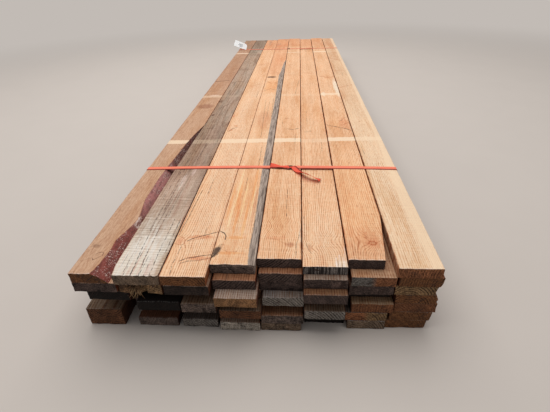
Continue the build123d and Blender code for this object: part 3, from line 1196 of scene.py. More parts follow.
def draw_strokes(sheet, wood, height, strokes, low):
    """Draws a board's lines on its wood. Gives the new colour and height."""
    for stroke in strokes:
        ends = [on_board(low, *point) for point in stroke.points]
        for first, last in zip(ends, ends[1:]):
            made = sheet.use(
                "Fir Stroke", First=first, Last=last, Width=stroke.width * MM, Broken=stroke.broken
            )
            line = made["Line"] * stroke.share
            wood = sheet.mix(line, wood, fir_tone(stroke.tone))
            height = height - line * 0.8
    return wood, height


def red_paint(sheet, wood, place, ragged):
    """Old paint: faded further back, blotched, specked with bare wood, and worn through in one place."""
    _, y, _ = sheet.split(place)
    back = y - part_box("top_board_1")[0].y
    paint = sheet.mix(sheet.ramp(back, *PAINT_FADE), fir_tone("paint"), fir_tone("paint_faded"))
    paint = sheet.mix(sheet.ramp(back, *PAINT_DARKENS), paint, fir_tone("paint_tip"))
    blotch = sheet.noise(place, (70.0, 24.0, 70.0), 4.0, 0.75)
    paint = sheet.mix(sheet.ramp(blotch, 0.42, 0.62, 0.0, 0.5), paint, fir_tone("bark_and_crack_shade"))
    crowd = sheet.ramp(sheet.noise(place, 26.0), 0.36, 0.62, 0.05, -0.03)
    fine_specks = sheet.ramp(sheet.noise(place, 250.0, 2.0, 0.6) - crowd, 0.60, 0.68)
    specks = sheet.ramp(sheet.noise(place, 120.0, 3.0, 0.75) - crowd, 0.64, 0.70)
    paint = sheet.mix(sheet.math("MAXIMUM", fine_specks, specks) * 0.75, paint, fir_tone("chip"))
    bare = sheet.ramp(ragged * 0.07 + abs(back - PAINT_BARE), 0.082, 0.06)
    worn_through = sheet.mix(sheet.ramp(blotch, 0.40, 0.56), fir_tone("chip"), sheet.mix(0.5, wood, paint))
    return sheet.mix(bare, paint, worn_through)


def paint_strip(sheet, wood, kind):
    """Covers a board's strip: red paint, gray wane or cream sapwood."""
    place = sheet.place()
    ragged = sheet.noise(place, 60.0, 3.0, 0.6)
    inside, _, _ = sheet.split(sheet.mark("strip"))
    inside = inside + ragged * 0.006 - 0.003
    if kind == "paint":
        return sheet.mix(sheet.ramp(inside, -1 * MM, 1 * MM), wood, red_paint(sheet, wood, place, ragged))
    if kind == "wane":
        streaks = sheet.ramp(sheet.noise(place, (230.0, 9.0, 230.0), 4.0, 0.7), 0.42, 0.60)
        gray = sheet.dye(streaks, fir_tone("wane"), OLD_STREAK_TINT)
        return sheet.mix(sheet.ramp(inside, -1 * MM, 1.5 * MM), wood, gray)
    cream = sheet.mix(0.35, fir_tone("sapwood"), wood, "MULTIPLY")
    return sheet.mix(sheet.ramp(inside, -4 * MM, 6 * MM, 0.0, 0.85), wood, cream)


def top_wood(number, look, low):
    """The sawn faces of one top board, with its own knots, bands and strip."""
    material, sheet, shader = new_material(f"fir_face_{number}")
    pull = 0.0
    hearts = []
    for knot in look.knots:
        made = sheet.use(
            "Fir Knot",
            Centre=on_board(low, knot.across, knot.back),
            Reach=half_sizes(knot.wide, knot.long),
            Spread=half_sizes(*knot.spread),
            Turn=-radians(knot.turn),
            Pull=knot.pull * MM,
        )
        pull = made["Pull"] + pull
        hearts.append(made)
    wood, height, cracks = shade_wood(sheet, fir_tone(look.wood), look, float(number), pull, low)
    for knot, made in zip(look.knots, hearts):
        tone = fir_tone(knot.tone)
        wood = sheet.mix(made["Heart"] * knot.heart, wood, tone)
        wood = sheet.mix(made["Rim"] * knot.rim, wood, sheet.dye(1.0, tone, KNOT_RIM_TINT))
        # The knot's cracks, darkened by painted shade
        wood = sheet.mix(made["Cracks"] * knot.heart, wood, fir_tone("bark_and_crack_shade"))
        height = height - made["Rim"] * (0.6 * knot.rim)
    wood, height = draw_strokes(sheet, wood, height, look.strokes, low)
    front, middle, rear = look.bands
    bands = sheet.use("Sticker Bands", Front=front, Middle=middle, Rear=rear)
    wood = sheet.mix(bands["Bands"], wood, sheet.mix(0.1, fir_tone("fresh"), wood, "MULTIPLY"))
    if look.strip_kind:
        wood = paint_strip(sheet, wood, look.strip_kind)
    # The drying checks, darkened by painted shade
    wood = sheet.mix(cracks * CRACK_SHARE, wood, fir_tone("bark_and_crack_shade"))
    finish_surface(sheet, shader, wood, height, depth=0.9 * MM, rough=0.82, shine=0.25)
    return material


LOWER_LOOK = Look(
    "", (0, 0), rings=1.4, ring_share=1.25, weather=0.3, far=0.2, saw=0.35, fuzz=0.08, checks=0.4
)


def lower_wood():
    """The sawn faces of the boards below, each in its own tone, darkened by painted shade where the next
    board lies on them.
    """
    material, sheet, shader = new_material("fir_face_lower")
    _, _, seed = sheet.split(sheet.mark("pith"))
    wood, height, cracks = shade_wood(sheet, sheet.mark("side_tone", "Color"), LOWER_LOOK, seed)
    side, back, _ = sheet.split(sheet.mark("inset"))
    # Painted shade where the next board lies on the face
    covered_shade = sheet.ramp(side, *COVERED_SIDE) * sheet.ramp(back, *COVERED_BACK)
    wood = sheet.dye(covered_shade, wood, COVERED_SHADE_TINT)
    # The drying checks, darkened by painted shade
    wood = sheet.mix(cracks * CRACK_SHARE, wood, fir_tone("bark_and_crack_shade"))
    finish_surface(sheet, shader, wood, height, depth=1.0 * MM, rough=0.82, shine=0.25)
    return material


def end_wood():
    """The sawn ends: rings and splits under gray and brown weathering, each end in its own tone."""
    material, sheet, shader = new_material("fir_end")
    pith = sheet.mark("end_pith")
    _, _, seed = sheet.split(pith)
    ring_width = bpy.context.scene.fir_sizes.ring_width * 1.5
    rings = sheet.use("Fir Rings", Pith=pith, Ring_Width=ring_width, Early_Share=0.35)
    end = sheet.use("Board End", Turn=rings["Turn"], Seed=seed)
    ring_share, slot_share, mottle_share = sheet.split(sheet.mark("finish"))
    tone = sheet.dye(end["Halves"] * 0.8, sheet.mark("end_tone", "Color"), END_COOL_TINT)
    dark = sheet.dye(1.0, tone, END_DARK_TINT)
    light = sheet.dye(1.0, tone, END_LIGHT_TINT)
    wood = sheet.mix(ring_share * 0.5, tone, light)
    wood = sheet.mix(rings["Late Wood"] * ring_share * 1.3, wood, dark)
    wood = sheet.mix(sheet.ramp(end["Blotches"], 0.52, 0.64) * mottle_share, wood, light)
    wood = sheet.mix(sheet.ramp(end["Blotches"], 0.48, 0.36) * mottle_share, wood, dark)
    wood = sheet.mix(sheet.ramp(end["Saw"], 0.52, 0.66, 0.0, 0.4), wood, light)
    grit = sheet.ramp(sheet.noise(sheet.place(), 260.0, 3.0, 0.7), 0.36, 0.64, 0.15, 0.85)
    wood = sheet.mix(0.7, wood, sheet.even(grit), "SOFT_LIGHT")
    slots = end["Slots"] * slot_share
    wood = sheet.mix(slots, wood, dark)
    # The end's splits, darkened by painted shade
    wood = sheet.mix(end["Splits"], wood, fir_tone("bark_and_crack_shade"))
    height = end["Saw"] * 0.5 + rings["Late Wood"] + end["Blotches"] * 0.6 - slots - end["Splits"] * 1.5
    finish_surface(sheet, shader, wood, height, depth=0.8 * MM, rough=0.9, shine=0.2)
    return material


def shared_material(name, make):
    """A material that several operators use, made when it is first asked for."""
    return bpy.data.materials.get(name) or make()


# Two boards side by side are further apart than this, and a board's points lie this near to its sides
BOARD_GAP = 0.5 * MM
BOARD_SLACK = 0.1 * MM


def boards_in(node):
    """The box of each board in a node, from left to right: there are gaps between them."""
    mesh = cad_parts[node].data
    points = np.array([vertex.co for vertex in mesh.vertices])
    spans = sorted(
        (points[list(face.vertices), 0].min(), points[list(face.vertices), 0].max())
        for face in mesh.polygons
    )
    merged = [list(spans[0])]
    for low, high in spans[1:]:
        if low > merged[-1][1] + BOARD_GAP:
            merged.append([low, high])
        merged[-1][1] = max(merged[-1][1], high)
    boxes = []
    for low, high in merged:
        own = points[(points[:, 0] >= low - BOARD_SLACK) & (points[:, 0] <= high + BOARD_SLACK)]
        boxes.append((Vector(own.min(axis=0)), Vector(own.max(axis=0))))
    return boxes


# Boards

# How far in from its ends a board's cut is uneven, and how much its steps bunch there
END_DEPTH = 50 * MM
END_BUNCHING = 0.11

# A worn edge's radius, in shares of the size that the user sets: its mean, how much it varies, its
# least and its most
WORN_MEAN = 0.75
WORN_VARIES = 0.2
WORN_LEAST = 0.3
WORN_MOST = 1.2

# Lengths along x, y and z of the waves in a board's worn edges, its two ends, its top and its sides
EDGE_WAVES = (0.3, 0.17, 0.3)
NEAR_WAVES = (0.06, 1, 0.03)
FAR_WAVES = (0.05, 1, 0.03)
TOP_WAVES = (0.11, 0.35, 0.3)
SIDE_WAVES = (0.3, 0.4, 0.05)


def rough_board(low, high, seed, counts, right=None, left=None, near=None, drop=None):
    """A board's surface in its box, uneven and worn, and how far inside its sides, its near end and its top
    each point lies. right(back, depth) gives the share of its width, left(back) how far its left side
    bulges, near(across, up) how far its near end is set back, and drop(across, back) how much lower its
    top is."""
    sizes = bpy.context.scene.fir_sizes
    edge = sizes.worn_edge
    size = np.array(high) - np.array(low)
    cuts = [steps(size[axis], counts[axis], edge, END_BUNCHING * (axis == 1)) for axis in range(3)]
    points, quads, axes = shell(*cuts)
    radius = edge * (WORN_MEAN + waves(points, seed, EDGE_WAVES, WORN_VARIES))
    x, y, z = worn(points, size, np.clip(radius, WORN_LEAST * edge, WORN_MOST * edge)).T
    across = points[:, 0] / size[0]
    up = points[:, 2] / size[2]
    near_share = np.clip(1 - y / END_DEPTH, 0, 1)
    far_share = np.clip(1 - (size[1] - y) / END_DEPTH, 0, 1)
    near_cut = np.abs(waves(points * (1, 0, 1), seed + 1, NEAR_WAVES, sizes.rough_end))
    far_cut = np.abs(waves(points, seed + 2, FAR_WAVES, sizes.rough_end))
    if near:
        near_cut = near_cut + near(across, up)
    y = y + near_share * near_cut - far_share * far_cut
    z = z - np.abs(waves(points, seed + 3, TOP_WAVES, sizes.rough_face)) * up
    if drop:
        z = z - drop(x, y) * up
    x = x + np.abs(waves(points, seed + 4, SIDE_WAVES, sizes.rough_face)) * (1 - 2 * across)
    if right:
        x = x * right(y, 1 - up)
    if left:
        x = x - left(y) * (1 - across) ** 2
    side = np.minimum(points[:, 0], size[0] - points[:, 0])
    inset = np.stack([side, points[:, 1], size[2] - points[:, 2]], axis=1)
    return np.stack([x, y, z], axis=1) + np.array(low), quads, (axes == 1).astype(int), inset


def finished_board(layer, column, low, high, seed, counts, along, random, **shape):
    """A rough board's points, quads and slots, and the marks that its shaders read. The stack's own left
    and right sides aren't shaded by a neighbour."""
    counts = (counts[0], along, counts[1])
    points, quads, slots, inset = rough_board(low, high, seed, counts, **shape)
    middle = (low.x + high.x) / 2
    if column == 0:
        inset[points[:, 0] < middle, 2] = 0
    if column == len(TOP_LOOKS) - 1:
        inset[points[:, 0] > middle, 2] = 0
    marks = finish_marks(layer, column, low, high, points, random)
    return points, quads, slots, {"inset": inset, **marks}


# Seeds of the random draws. A board's own seed goes up by these with its column and its layer
TOP_SEED = 3
LOWER_SEED = 7
TIMBER_SEED = 977
COLUMN_SEEDS = 10
LAYER_SEEDS = 100

# A pith's third number shifts the noise of its board
TOP_SHIFT = 3.7
TIMBER_SHIFT = 61.0

# How far to the side of its middle and below its top a lower board's pith lies
LOWER_PITH_ASIDE = (110 * MM, 170 * MM)
LOWER_PITH_BELOW = (50 * MM, 90 * MM)

# Steps across and down a board of each kind
TOP_STEPS = (20, 6)
LOWER_STEPS = (14, 4)
TORN_STEPS = (30, 4)
TIMBER_STEPS = (16, 8)

# The columns of the top boards that have a shape of their own
SPLINTER_COLUMN = 1
THIN_COLUMN = 5
TAPER_COLUMN = 6

# How far the seventh board's right side is cut back, and over what length
TAPER_WIDTH = 29 * MM
TAPER_LENGTH = 270 * MM

# How far the first board's wane comes in at its foot, and how much it bulges
WANE_FOOT = 24 * MM
WANE_BULGE = 7 * MM

# How far the fourth board's gray strip falls away, and over what width
SHALLOW_DROP = 6 * MM
SHALLOW_WIDTH = 40 * MM

# How deep the weathered board's near end is splintered
TEETH_DEPTH = 5 * MM


def outline_of(strip):
    """A strip's inner edge in metres: how far back, and how far in."""
    return np.array(strip, float).T * MM


def wane_share(width):
    """The first board's right side: the log's slope, from its painted edge down to its foot."""
    backs, inners = outline_of(RED_WANE)

    def share(back, depth):
        top_edge = np.interp(back, backs, inners)
        slope = np.clip((width - top_edge) / (width - inners[0]), 0, 1)
        foot = width - WANE_FOOT * slope
        bulge = WANE_BULGE * slope * np.sin(pi * depth)
        return (top_edge + (foot - top_edge) * depth + bulge) / width

    return share


def taper_share(width):
    """The seventh board's right side, cut back towards its near end."""
    return lambda back, depth: 1 - TAPER_WIDTH / width * np.clip(1 - back / TAPER_LENGTH, 0, 1)


def shallow_wane(x, y):
    """How far the fourth board's gray strip falls away to its right edge."""
    backs, inners = outline_of(GRAY_WANE)
    inside = np.clip(x - np.interp(y, backs, inners), 0, None)
    return SHALLOW_DROP * (inside / SHALLOW_WIDTH) ** 1.4


def bulging_side(back):
    """How far the second board's left side bulges."""
    return np.interp(back, *outline_of(BULGE))


def splintered_end(across, up):
    """Loose fibres broken out of the weathered board's near top edge."""
    return TEETH_DEPTH * np.abs(np.sin(across * 19 + 1.3) * np.sin(across * 43)) * up**3


def top_shape(column, look, width):
    """What changes a top board's shape, as rough_board takes it."""
    shape = {}
    if look.strip_kind == "paint":
        shape["right"] = wane_share(width)
    if look.strip_kind == "wane":
        shape["drop"] = shallow_wane
    if look.snug:
        shape["left"] = lambda back: look.snug * MM
    if column == SPLINTER_COLUMN:
        shape["near"] = splintered_end
        shape["left"] = bulging_side
    if column == THIN_COLUMN:
        shape["drop"] = lambda x, y: np.full(len(x), bpy.context.scene.fir_sizes.thin_board)
    if column == TAPER_COLUMN:
        shape["right"] = taper_share(width)
    return shape


class FIR_OT_top_boards(bpy.types.Operator):
    """Makes the eight boards of the top layer"""

    bl_idname = "fir.top_boards"
    bl_label = "Top Boards"

    def execute(self, context):
        top_steps = context.scene.fir_sizes.top_steps
        end_material = shared_material("fir_end", end_wood)
        random = np.random.default_rng(TOP_SEED)
        for column, look in enumerate(TOP_LOOKS):
            node = f"top_board_{column + 1}"
            low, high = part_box(node)
            shape = top_shape(column, look, high.x - low.x)
            points, quads, slots, marks = finished_board(
                0, column, low, high, COLUMN_SEEDS * column + TOP_SEED, TOP_STEPS, top_steps, random, **shape
            )
            pith = ((low.x + high.x) / 2 + look.pith[0] * MM, high.z - look.pith[1] * MM, TOP_SHIFT * column)
            strip = np.zeros((len(points), 3))
            if look.strip:
                inner = np.interp(points[:, 1] - low.y, *outline_of(look.strip))
                strip[:, 0] = points[:, 0] - low.x - inner
            pile = Pile()
            pile.add(points, quads, slots, pith=pith, strip=strip, **marks)
            piece = pile.object(f"fir_board_{column + 1}", [top_wood(column + 1, look, low), end_material])
            stand_for(piece, node)
        return {"FINISHED"}


# How far the right sides of the last column's lower boards are cut back at their top, middle and foot
RAGGED_SIDES = {
    1: (1, 2, 10), 2: (4, 9, 14), 3: (12, 1, 8), 4: (2, 5, 3), 5: (1, 6, 12), 6: (2, 4, 9),
}


def ragged_share(layer, width):
    """The share of its width that a lower board of the last column keeps."""
    cuts = np.array(RAGGED_SIDES[layer], float) * MM

    def share(back, depth):
        swell = 0.75 + 0.25 * np.sin(back * 7.0 + layer)
        return 1 - np.interp(depth, [0, 0.5, 1], cuts) * swell / width

    return share


# The board whose near end is torn, how deep, and what share of that at each share of its width
TORN_LAYER = "layer_2"
TORN_COLUMN = 1
TORN_DEPTH = 26 * MM
TORN_SHARES = [(0, 0.5), (0.2, 0.25), (0.36, 0.85), (0.47, 0.2), (0.6, 1), (0.66, 0.3), (1, 0)]


def torn_end(across, up):
    """The torn end of the second layer's second board, further back at its top."""
    places, depths = np.array(TORN_SHARES, float).T
    return TORN_DEPTH * np.interp(across, places, depths) * (0.7 + 0.3 * up)


# The splinters that hang from the torn end
SPLINTER_SEED = 41
SPLINTER_COUNT = 16
SPLINTER_SPAN = (30 * MM, 76 * MM)
SPLINTER_REACH = (9 * MM, 33 * MM)
SPLINTER_WIDTH = 5 * MM
SPLINTER_ROOT = 16 * MM
SPLINTER_TONE = (146, 120, 88)
SPLINTER_FINISH = (0.3, 0.0, 0.3)
SPLINTER_INSET = (20 * MM, 20 * MM, 0)


def add_splinters(pile, low, pith):
    """Torn fibres that bend down out of the end, each tapered to a point."""
    random = np.random.default_rng(SPLINTER_SEED)
    tone = shade_value(SPLINTER_TONE)
    points, quads, _ = shell(np.linspace(-1, 1, 2), np.linspace(0, 1, 7), np.linspace(-1, 1, 2))
    sideways, along, upwards = points.T
    for _ in range(SPLINTER_COUNT):
        reach = random.uniform(*SPLINTER_REACH)
        half = SPLINTER_WIDTH / 2 * random.uniform(0.4, 1.0) * (1 - 0.9 * along**1.5)
        lean = random.uniform(-0.9, 0.9) * reach
        x = low.x + random.uniform(*SPLINTER_SPAN) + lean * along**2 + sideways * half
        y = low.y + TORN_DEPTH * (0.9 - 1.1 * np.sin(along * pi / 2)) - upwards * half * 0.5
        z = low.z + SPLINTER_ROOT - reach * along**1.6 + upwards * half * 0.5
        marks = {"end_tone": tone, "side_tone": tone, "end_pith": pith, "finish": SPLINTER_FINISH}
        slots = np.zeros(len(quads), int)
        pile.add(np.stack([x, y, z], axis=1), quads, slots, pith=pith, inset=SPLINTER_INSET, **marks)


class FIR_OT_lower_boards(bpy.types.Operator):
    """Makes the boards of the six layers below, and the squared timber at their left corner"""

    bl_idname = "fir.lower_boards"
    bl_label = "Lower Boards"

    def execute(self, context):
        low_steps = context.scene.fir_sizes.low_steps
        materials = [shared_material("fir_face_lower", lower_wood), shared_material("fir_end", end_wood)]
        random = np.random.default_rng(LOWER_SEED)
        for layer, node in enumerate(LAYERS, start=1):
            pile = Pile()
            boxes = boards_in(node)
            for column, (low, high) in enumerate(boxes, start=len(TOP_LOOKS) - len(boxes)):
                torn = node == TORN_LAYER and column == TORN_COLUMN
                shape = {"near": torn_end} if torn else {}
                if column == len(TOP_LOOKS) - 1:
                    shape["right"] = ragged_share(layer, high.x - low.x)
                counts = TORN_STEPS if torn else LOWER_STEPS
                seed = LAYER_SEEDS * layer + COLUMN_SEEDS * column
                points, quads, slots, marks = finished_board(
                    layer, column, low, high, seed, counts, low_steps, random, **shape
                )
                pith = (
                    (low.x + high.x) / 2 + random.choice([-1, 1]) * random.uniform(*LOWER_PITH_ASIDE),
                    high.z - random.uniform(*LOWER_PITH_BELOW),
                    random.uniform(*SHIFTS),
                )
                pile.add(points, quads, slots, pith=pith, **marks)
                if torn:
                    add_splinters(pile, low, pith)
            stand_for(pile.object(f"fir_{node}", materials), node)
        low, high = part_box("corner_timber")
        pile = Pile()
        points, quads, slots, marks = finished_board(
            len(LAYERS), 0, low, high, TIMBER_SEED, TIMBER_STEPS, low_steps, random
        )
        middle = (low + high) / 2
        pith = (middle.x + 20 * MM, middle.z - 30 * MM, TIMBER_SHIFT)
        pile.add(points, quads, slots, pith=pith, **marks)
        stand_for(pile.object("fir_corner_timber", materials), "corner_timber")
        return {"FINISHED"}


# Straps

# A band's steps along its straight stretches and round its corners, and its ripple's wave lengths
STRAP_STEP = 12 * MM
CORNER_SHARES = (0.0, 0.33, 0.67, 1.0)
RIPPLE_LENGTHS = (0.12, 1.0, 0.2)
FRONT_SEED = 5
REAR_SEED = 9

# How many thicknesses its middle lies off the boards, the share of its bow that its sides come forward
# by, and the rear band's bow as a share of the front one's
STRAP_LIFT = 0.55
BOW_SHIFT = 0.4
REAR_BOW = -0.3

# Points across each face of a strap, and the angle in degrees from which its edges are sharp
RIBBON_POINTS = 8
STRAP_SHARP = 50.0


def stack_outline():
    """The corners of the stack's section that a tight strap touches, going round it, as (x, z)."""
    corners = []
    for node in ["top_board_1", "top_board_8", "corner_timber"] + LAYERS:
        low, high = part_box(node)
        corners += [(x, z) for x in (low.x, high.x) for z in (low.z, high.z)]
    corners = sorted(set((round(x, 5), round(z, 5)) for x, z in corners))

    def half(points):
        chain = []
        for point in points:
            while len(chain) > 1 and turn_of(chain[-2], chain[-1], point) <= 0:
                chain.pop()
            chain.append(point)
        return chain[:-1]

    return half(corners) + half(corners[::-1])


def turn_of(first, second, third):
    """Above zero where the three points turn to the left."""
    return (second[0] - first[0]) * (third[1] - first[1]) - (second[1] - first[1]) * (third[0] - first[0])


def ribbon(pile, centres, across, out, width, closed=False):
    """A flat strap through these centres, with its width along across and its outer face towards out."""
    shares = np.linspace(-1, 1, RIBBON_POINTS)
    offsets = shares * width / 2
    lifts = np.sqrt(1 - (shares * 0.92) ** 8) * STRAP_THICKNESS / 2
    section = np.column_stack([np.append(offsets, offsets[::-1]), np.append(lifts, -lifts[::-1])])
    rings = np.stack([centres + across * offset + out * lift for offset, lift in section], axis=1)
    stations, points_round = rings.shape[:2]
    run = np.concatenate([[0], np.cumsum(np.linalg.norm(np.diff(centres, axis=0), axis=1))])
    lay = np.stack([
        np.repeat(run, points_round),
        np.tile(section[:, 0], stations),
        np.full(stations * points_round, 0.0 if closed else 1.0),
    ], axis=1)
    number = np.arange(stations * points_round).reshape(stations, points_round)
    if closed:
        number = np.vstack([number, number[:1]])
    here = number[:-1]
    there = number[1:]
    sides = [here, np.roll(here, -1, axis=1), np.roll(there, -1, axis=1), there]
    quads = np.stack(sides, axis=-1).reshape(-1, 4)
    if not closed:
        caps = []
        for row, order in ((number[0], 1), (number[-1], -1)):
            for step in range(RIBBON_POINTS - 1):
                cap = [row[step], row[-1 - step], row[-2 - step], row[step + 1]]
                caps.append(cap[::order])
        quads = np.concatenate([quads, np.array(caps)])
    pile.add(rings.reshape(-1, 3), quads, np.zeros(len(quads), int), lay=lay)


def band_round(pile, y_middle, width, bow, seed):
    """The closed band round the whole stack, bowed back in its middle and rippled."""
    corners = [Vector(corner) for corner in stack_outline()]
    centres = []
    outs = []
    for index, here in enumerate(corners):
        after = corners[(index + 1) % len(corners)]
        first = (here - corners[index - 1]).normalized()
        second = (after - here).normalized()
        normals = [Vector((first.y, -first.x)), Vector((second.y, -second.x))]
        for share in CORNER_SHARES:
            out = normals[0].lerp(normals[1], share).normalized()
            centres.append(here + out * STRAP_THICKNESS * STRAP_LIFT)
            outs.append(out)
        spaces = int((after - here).length / STRAP_STEP)
        for step in range(1, spaces):
            centres.append(here.lerp(after, step / spaces) + normals[1] * STRAP_THICKNESS * STRAP_LIFT)
            outs.append(normals[1])
    flat = np.array([(point.x, 0.0, point.y) for point in centres])
    out = np.array([(point.x, 0.0, point.y) for point in outs])
    half = (cad_box[1].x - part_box("top_board_1")[0].x) / 2
    middle = cad_box[1].x - half
    height = np.clip(flat[:, 2] / STACK_TOP, 0, 1)
    reach = np.clip(1 - ((flat[:, 0] - middle) / half) ** 2, 0, 1)
    flat[:, 1] = y_middle + bow * (reach - BOW_SHIFT) * height**3
    ripple = bpy.context.scene.fir_sizes.strap_ripple
    flat += out * np.abs(waves(flat, seed, RIPPLE_LENGTHS, ripple))[:, None]
    flat[:, 2] = np.maximum(flat[:, 2], STRAP_THICKNESS * 0.5)
    along = np.roll(flat, -1, axis=0) - np.roll(flat, 1, axis=0)
    along /= np.linalg.norm(along, axis=1)[:, None]
    ribbon(pile, flat, np.cross(along, out), out, width, closed=True)


def smooth_line(points, count):
    """Points on a smooth line through a few chosen ones."""
    chosen = np.array(points, float)
    padded = np.vstack([2 * chosen[0] - chosen[1], chosen, 2 * chosen[-1] - chosen[-2]])
    line = []
    for place in np.linspace(0, len(chosen) - 1 - TINY, count):
        start = int(place)
        share = place - start
        a, b, c, d = padded[start:start + 4]
        bent = (2 * a - 5 * b + 4 * c - d) * share**2 + (3 * b - a - 3 * c + d) * share**3
        line.append(0.5 * (2 * b + (c - a) * share + bent))
    return np.array(line)


# The front strap's loose ends: x, y and z in millimetres from the buckle's middle on the boards, and
# how far each point's strap is turned over, in degrees
TAIL = [
    (0, 0, 2.6, 0), (7, 0, 4.4, 0), (15.5, -0.5, 6.5, 0), (24, -9, 6.5, 0), (35, -30, 6, 2),
    (46, -50, 6, 8), (57, -66, 9, 22), (70, -82, 14, 34), (86, -98, 17, 39), (102, -110, 15, 40),
    (118, -118, 10, 38), (132, -124, 5, 30), (145, -129, 2, 12),
]
SHORT_END = [
    (0, 0, 2.6, 0), (-7, 0, 4.4, 0), (-15.5, 0, 6.5, 0), (-24, 1, 6.0, -3), (-42, 3, 6.5, -12),
    (-66, 6, 8, 6), (-95, 10, 9, 32),
]


# Steps of a loose end's smooth line for each of its points
TAIL_STEPS = 16


def loose_end(pile, points, buckle, width):
    """A strap's loose end, threaded over the buckle's side bar."""
    line = smooth_line(points, TAIL_STEPS * len(points))
    centres = line[:, :3] * MM + np.array([buckle.x, buckle.y, STACK_TOP])
    along = np.gradient(centres, axis=0)
    along /= np.linalg.norm(along, axis=1)[:, None]
    heading = centres[len(centres) * 2 // 3] - centres[0]
    level_side = np.cross(heading / np.linalg.norm(heading), (0.0, 0.0, 1.0))
    level = level_side - along * (along @ level_side)[:, None]
    level /= np.linalg.norm(level, axis=1)[:, None]
    rise = np.cross(level, along)
    turn = np.radians(line[:, 3])[:, None]
    across = level * np.cos(turn) + rise * np.sin(turn)
    out = rise * np.cos(turn) - level * np.sin(turn)
    lift = np.abs(across[:, 2]) * width / 2
    centres[:, 2] += np.maximum(0, lift - (centres[:, 2] - STACK_TOP) + STRAP_THICKNESS)
    ribbon(pile, centres, across, out, width)


def strap_material():
    """Woven orange-red polyester, soiled, with painted shade in its weave's grooves and a painted shadow
    along its near edge.
    """
    material, sheet, shader = new_material("strap_polyester")
    lay = sheet.mark("lay")
    weave = sheet.use("Strap Weave", Lay=lay)
    _, across, loose = sheet.split(lay)
    shade = strap_tone("strap_soil_and_shade")
    cover = sheet.mix(loose * 0.8, strap_tone("strap"), strap_tone("strap_deep"))
    cover = sheet.mix(weave["Soil"] * 0.12, cover, shade)
    # Painted shade in the weave's grooves
    cover = sheet.mix(sheet.ramp(weave["Ribs"], 0.35, 0.6, 0.12, 0.0), cover, shade)
    # Painted shadow along the strap's near edge
    cover = sheet.mix(sheet.ramp(across, -6 * MM, -9 * MM) * 0.9, cover, shade)
    finish_surface(sheet, shader, cover, weave["Ribs"], depth=0.25 * MM, rough=0.6, shine=0.15)
    return material


def middle_of(node):
    """The middle of a solid's box."""
    low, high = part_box(node)
    return (low + high) / 2


class FIR_OT_straps(bpy.types.Operator):
    """Makes the two straps, the front one with its loose ends"""

    bl_idname = "fir.straps"
    bl_label = "Straps"

    def execute(self, context):
        bow = context.scene.fir_sizes.strap_bow
        material = shared_material("strap_polyester", strap_material)
        rear_low, rear_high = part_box("rear_strap")
        width = rear_high.y - rear_low.y
        front = Pile()
        buckle = middle_of("front_buckle")
        band_round(front, buckle.y, width, bow, FRONT_SEED)
        loose_end(front, TAIL, buckle, width)
        loose_end(front, SHORT_END, buckle, width)
        stand_for(front.object("strap_front", [material], STRAP_SHARP), "front_strap")
        rear = Pile()
        band_round(rear, middle_of("rear_buckle").y, width, REAR_BOW * bow, REAR_SEED)
        stand_for(rear.object("strap_rear", [material], STRAP_SHARP), "rear_strap")
        return {"FINISHED"}


# What the wire's colour is multiplied by where it is rubbed bright
RUBBED_TINT = (2.0, 1.9, 1.8)


def wire_material():
    """Dark coated wire, rubbed bright in places."""
    material, sheet, shader = new_material("buckle_wire")
    place = sheet.place()
    rubbed = sheet.ramp(sheet.noise(place, 240.0, 3.0, 0.6), 0.55, 0.7)
    cover = sheet.dye(rubbed, strap_tone("wire"), RUBBED_TINT)
    rough = sheet.ramp(rubbed, 0.0, 1.0, 0.5, 0.32)
    finish_surface(sheet, shader, cover, sheet.noise(place, 700.0), depth=0.1 * MM, rough=rough)
    shader.inputs["Metallic"].default_value = 0.3
    return material


class FIR_OT_buckles(bpy.types.Operator):
    """Gives the two wire buckles their finish"""

    bl_idname = "fir.buckles"
    bl_label = "Buckles"

    def execute(self, context):
        material = shared_material("buckle_wire", wire_material)
        for node in ("front_buckle", "rear_buckle"):
            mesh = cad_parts[node].data
            mesh.materials.clear()
            mesh.materials.append(material)
        return {"FINISHED"}


# The tag: a card that slopes up to the left and leans back, with one corner cut off
CARD_STEPS = (41, 17)
CARD_LENGTH = 160 * MM
CARD_HEIGHT = 72 * MM
CARD_CLIP = 20 * MM
CARD_SLOPE = radians(20)
CARD_LEAN = radians(34)

# Its plain bars: how far up each lies, and where it starts and ends, as shares of the card
CARD_BARS = ((0.62, 0.34, 0.66), (0.42, 0.30, 0.70), (0.24, 0.36, 0.58))
BAR_BLUR = 0.01

# Half of a bar's height as such a share, where it starts to show and where it is full
BAR_HALF = (0.055, 0.045)

# The colour of the soil on the card, as a shader takes it
CARD_SOIL = (0.62, 0.58, 0.54, 1.0)


def card_material():
    """Coated white card with plain bars."""
    material, sheet, shader = new_material("tag_card")
    place = sheet.place()
    along, up, _ = sheet.split(sheet.mark("lay"))
    bars = 0.0
    for height, first, last in CARD_BARS:
        inside = sheet.ramp(along, first - BAR_BLUR, first) * sheet.ramp(along, last, last - BAR_BLUR)
        bars = sheet.ramp(abs(up - height), *BAR_HALF) * inside + bars
    smear = sheet.noise(place, 55.0, 3.0)
    card = sheet.mix(sheet.ramp(smear, 0.5, 0.8, 0.0, 0.2), strap_tone("card"), CARD_SOIL)
    cover = sheet.mix(bars * 0.8, card, strap_tone("card_bar"))
    rough = sheet.ramp(smear, 0.3, 0.7, 0.35, 0.5)
    finish_surface(sheet, shader, cover, sheet.noise(place, 400.0), depth=0.05 * MM, rough=rough)
    return material


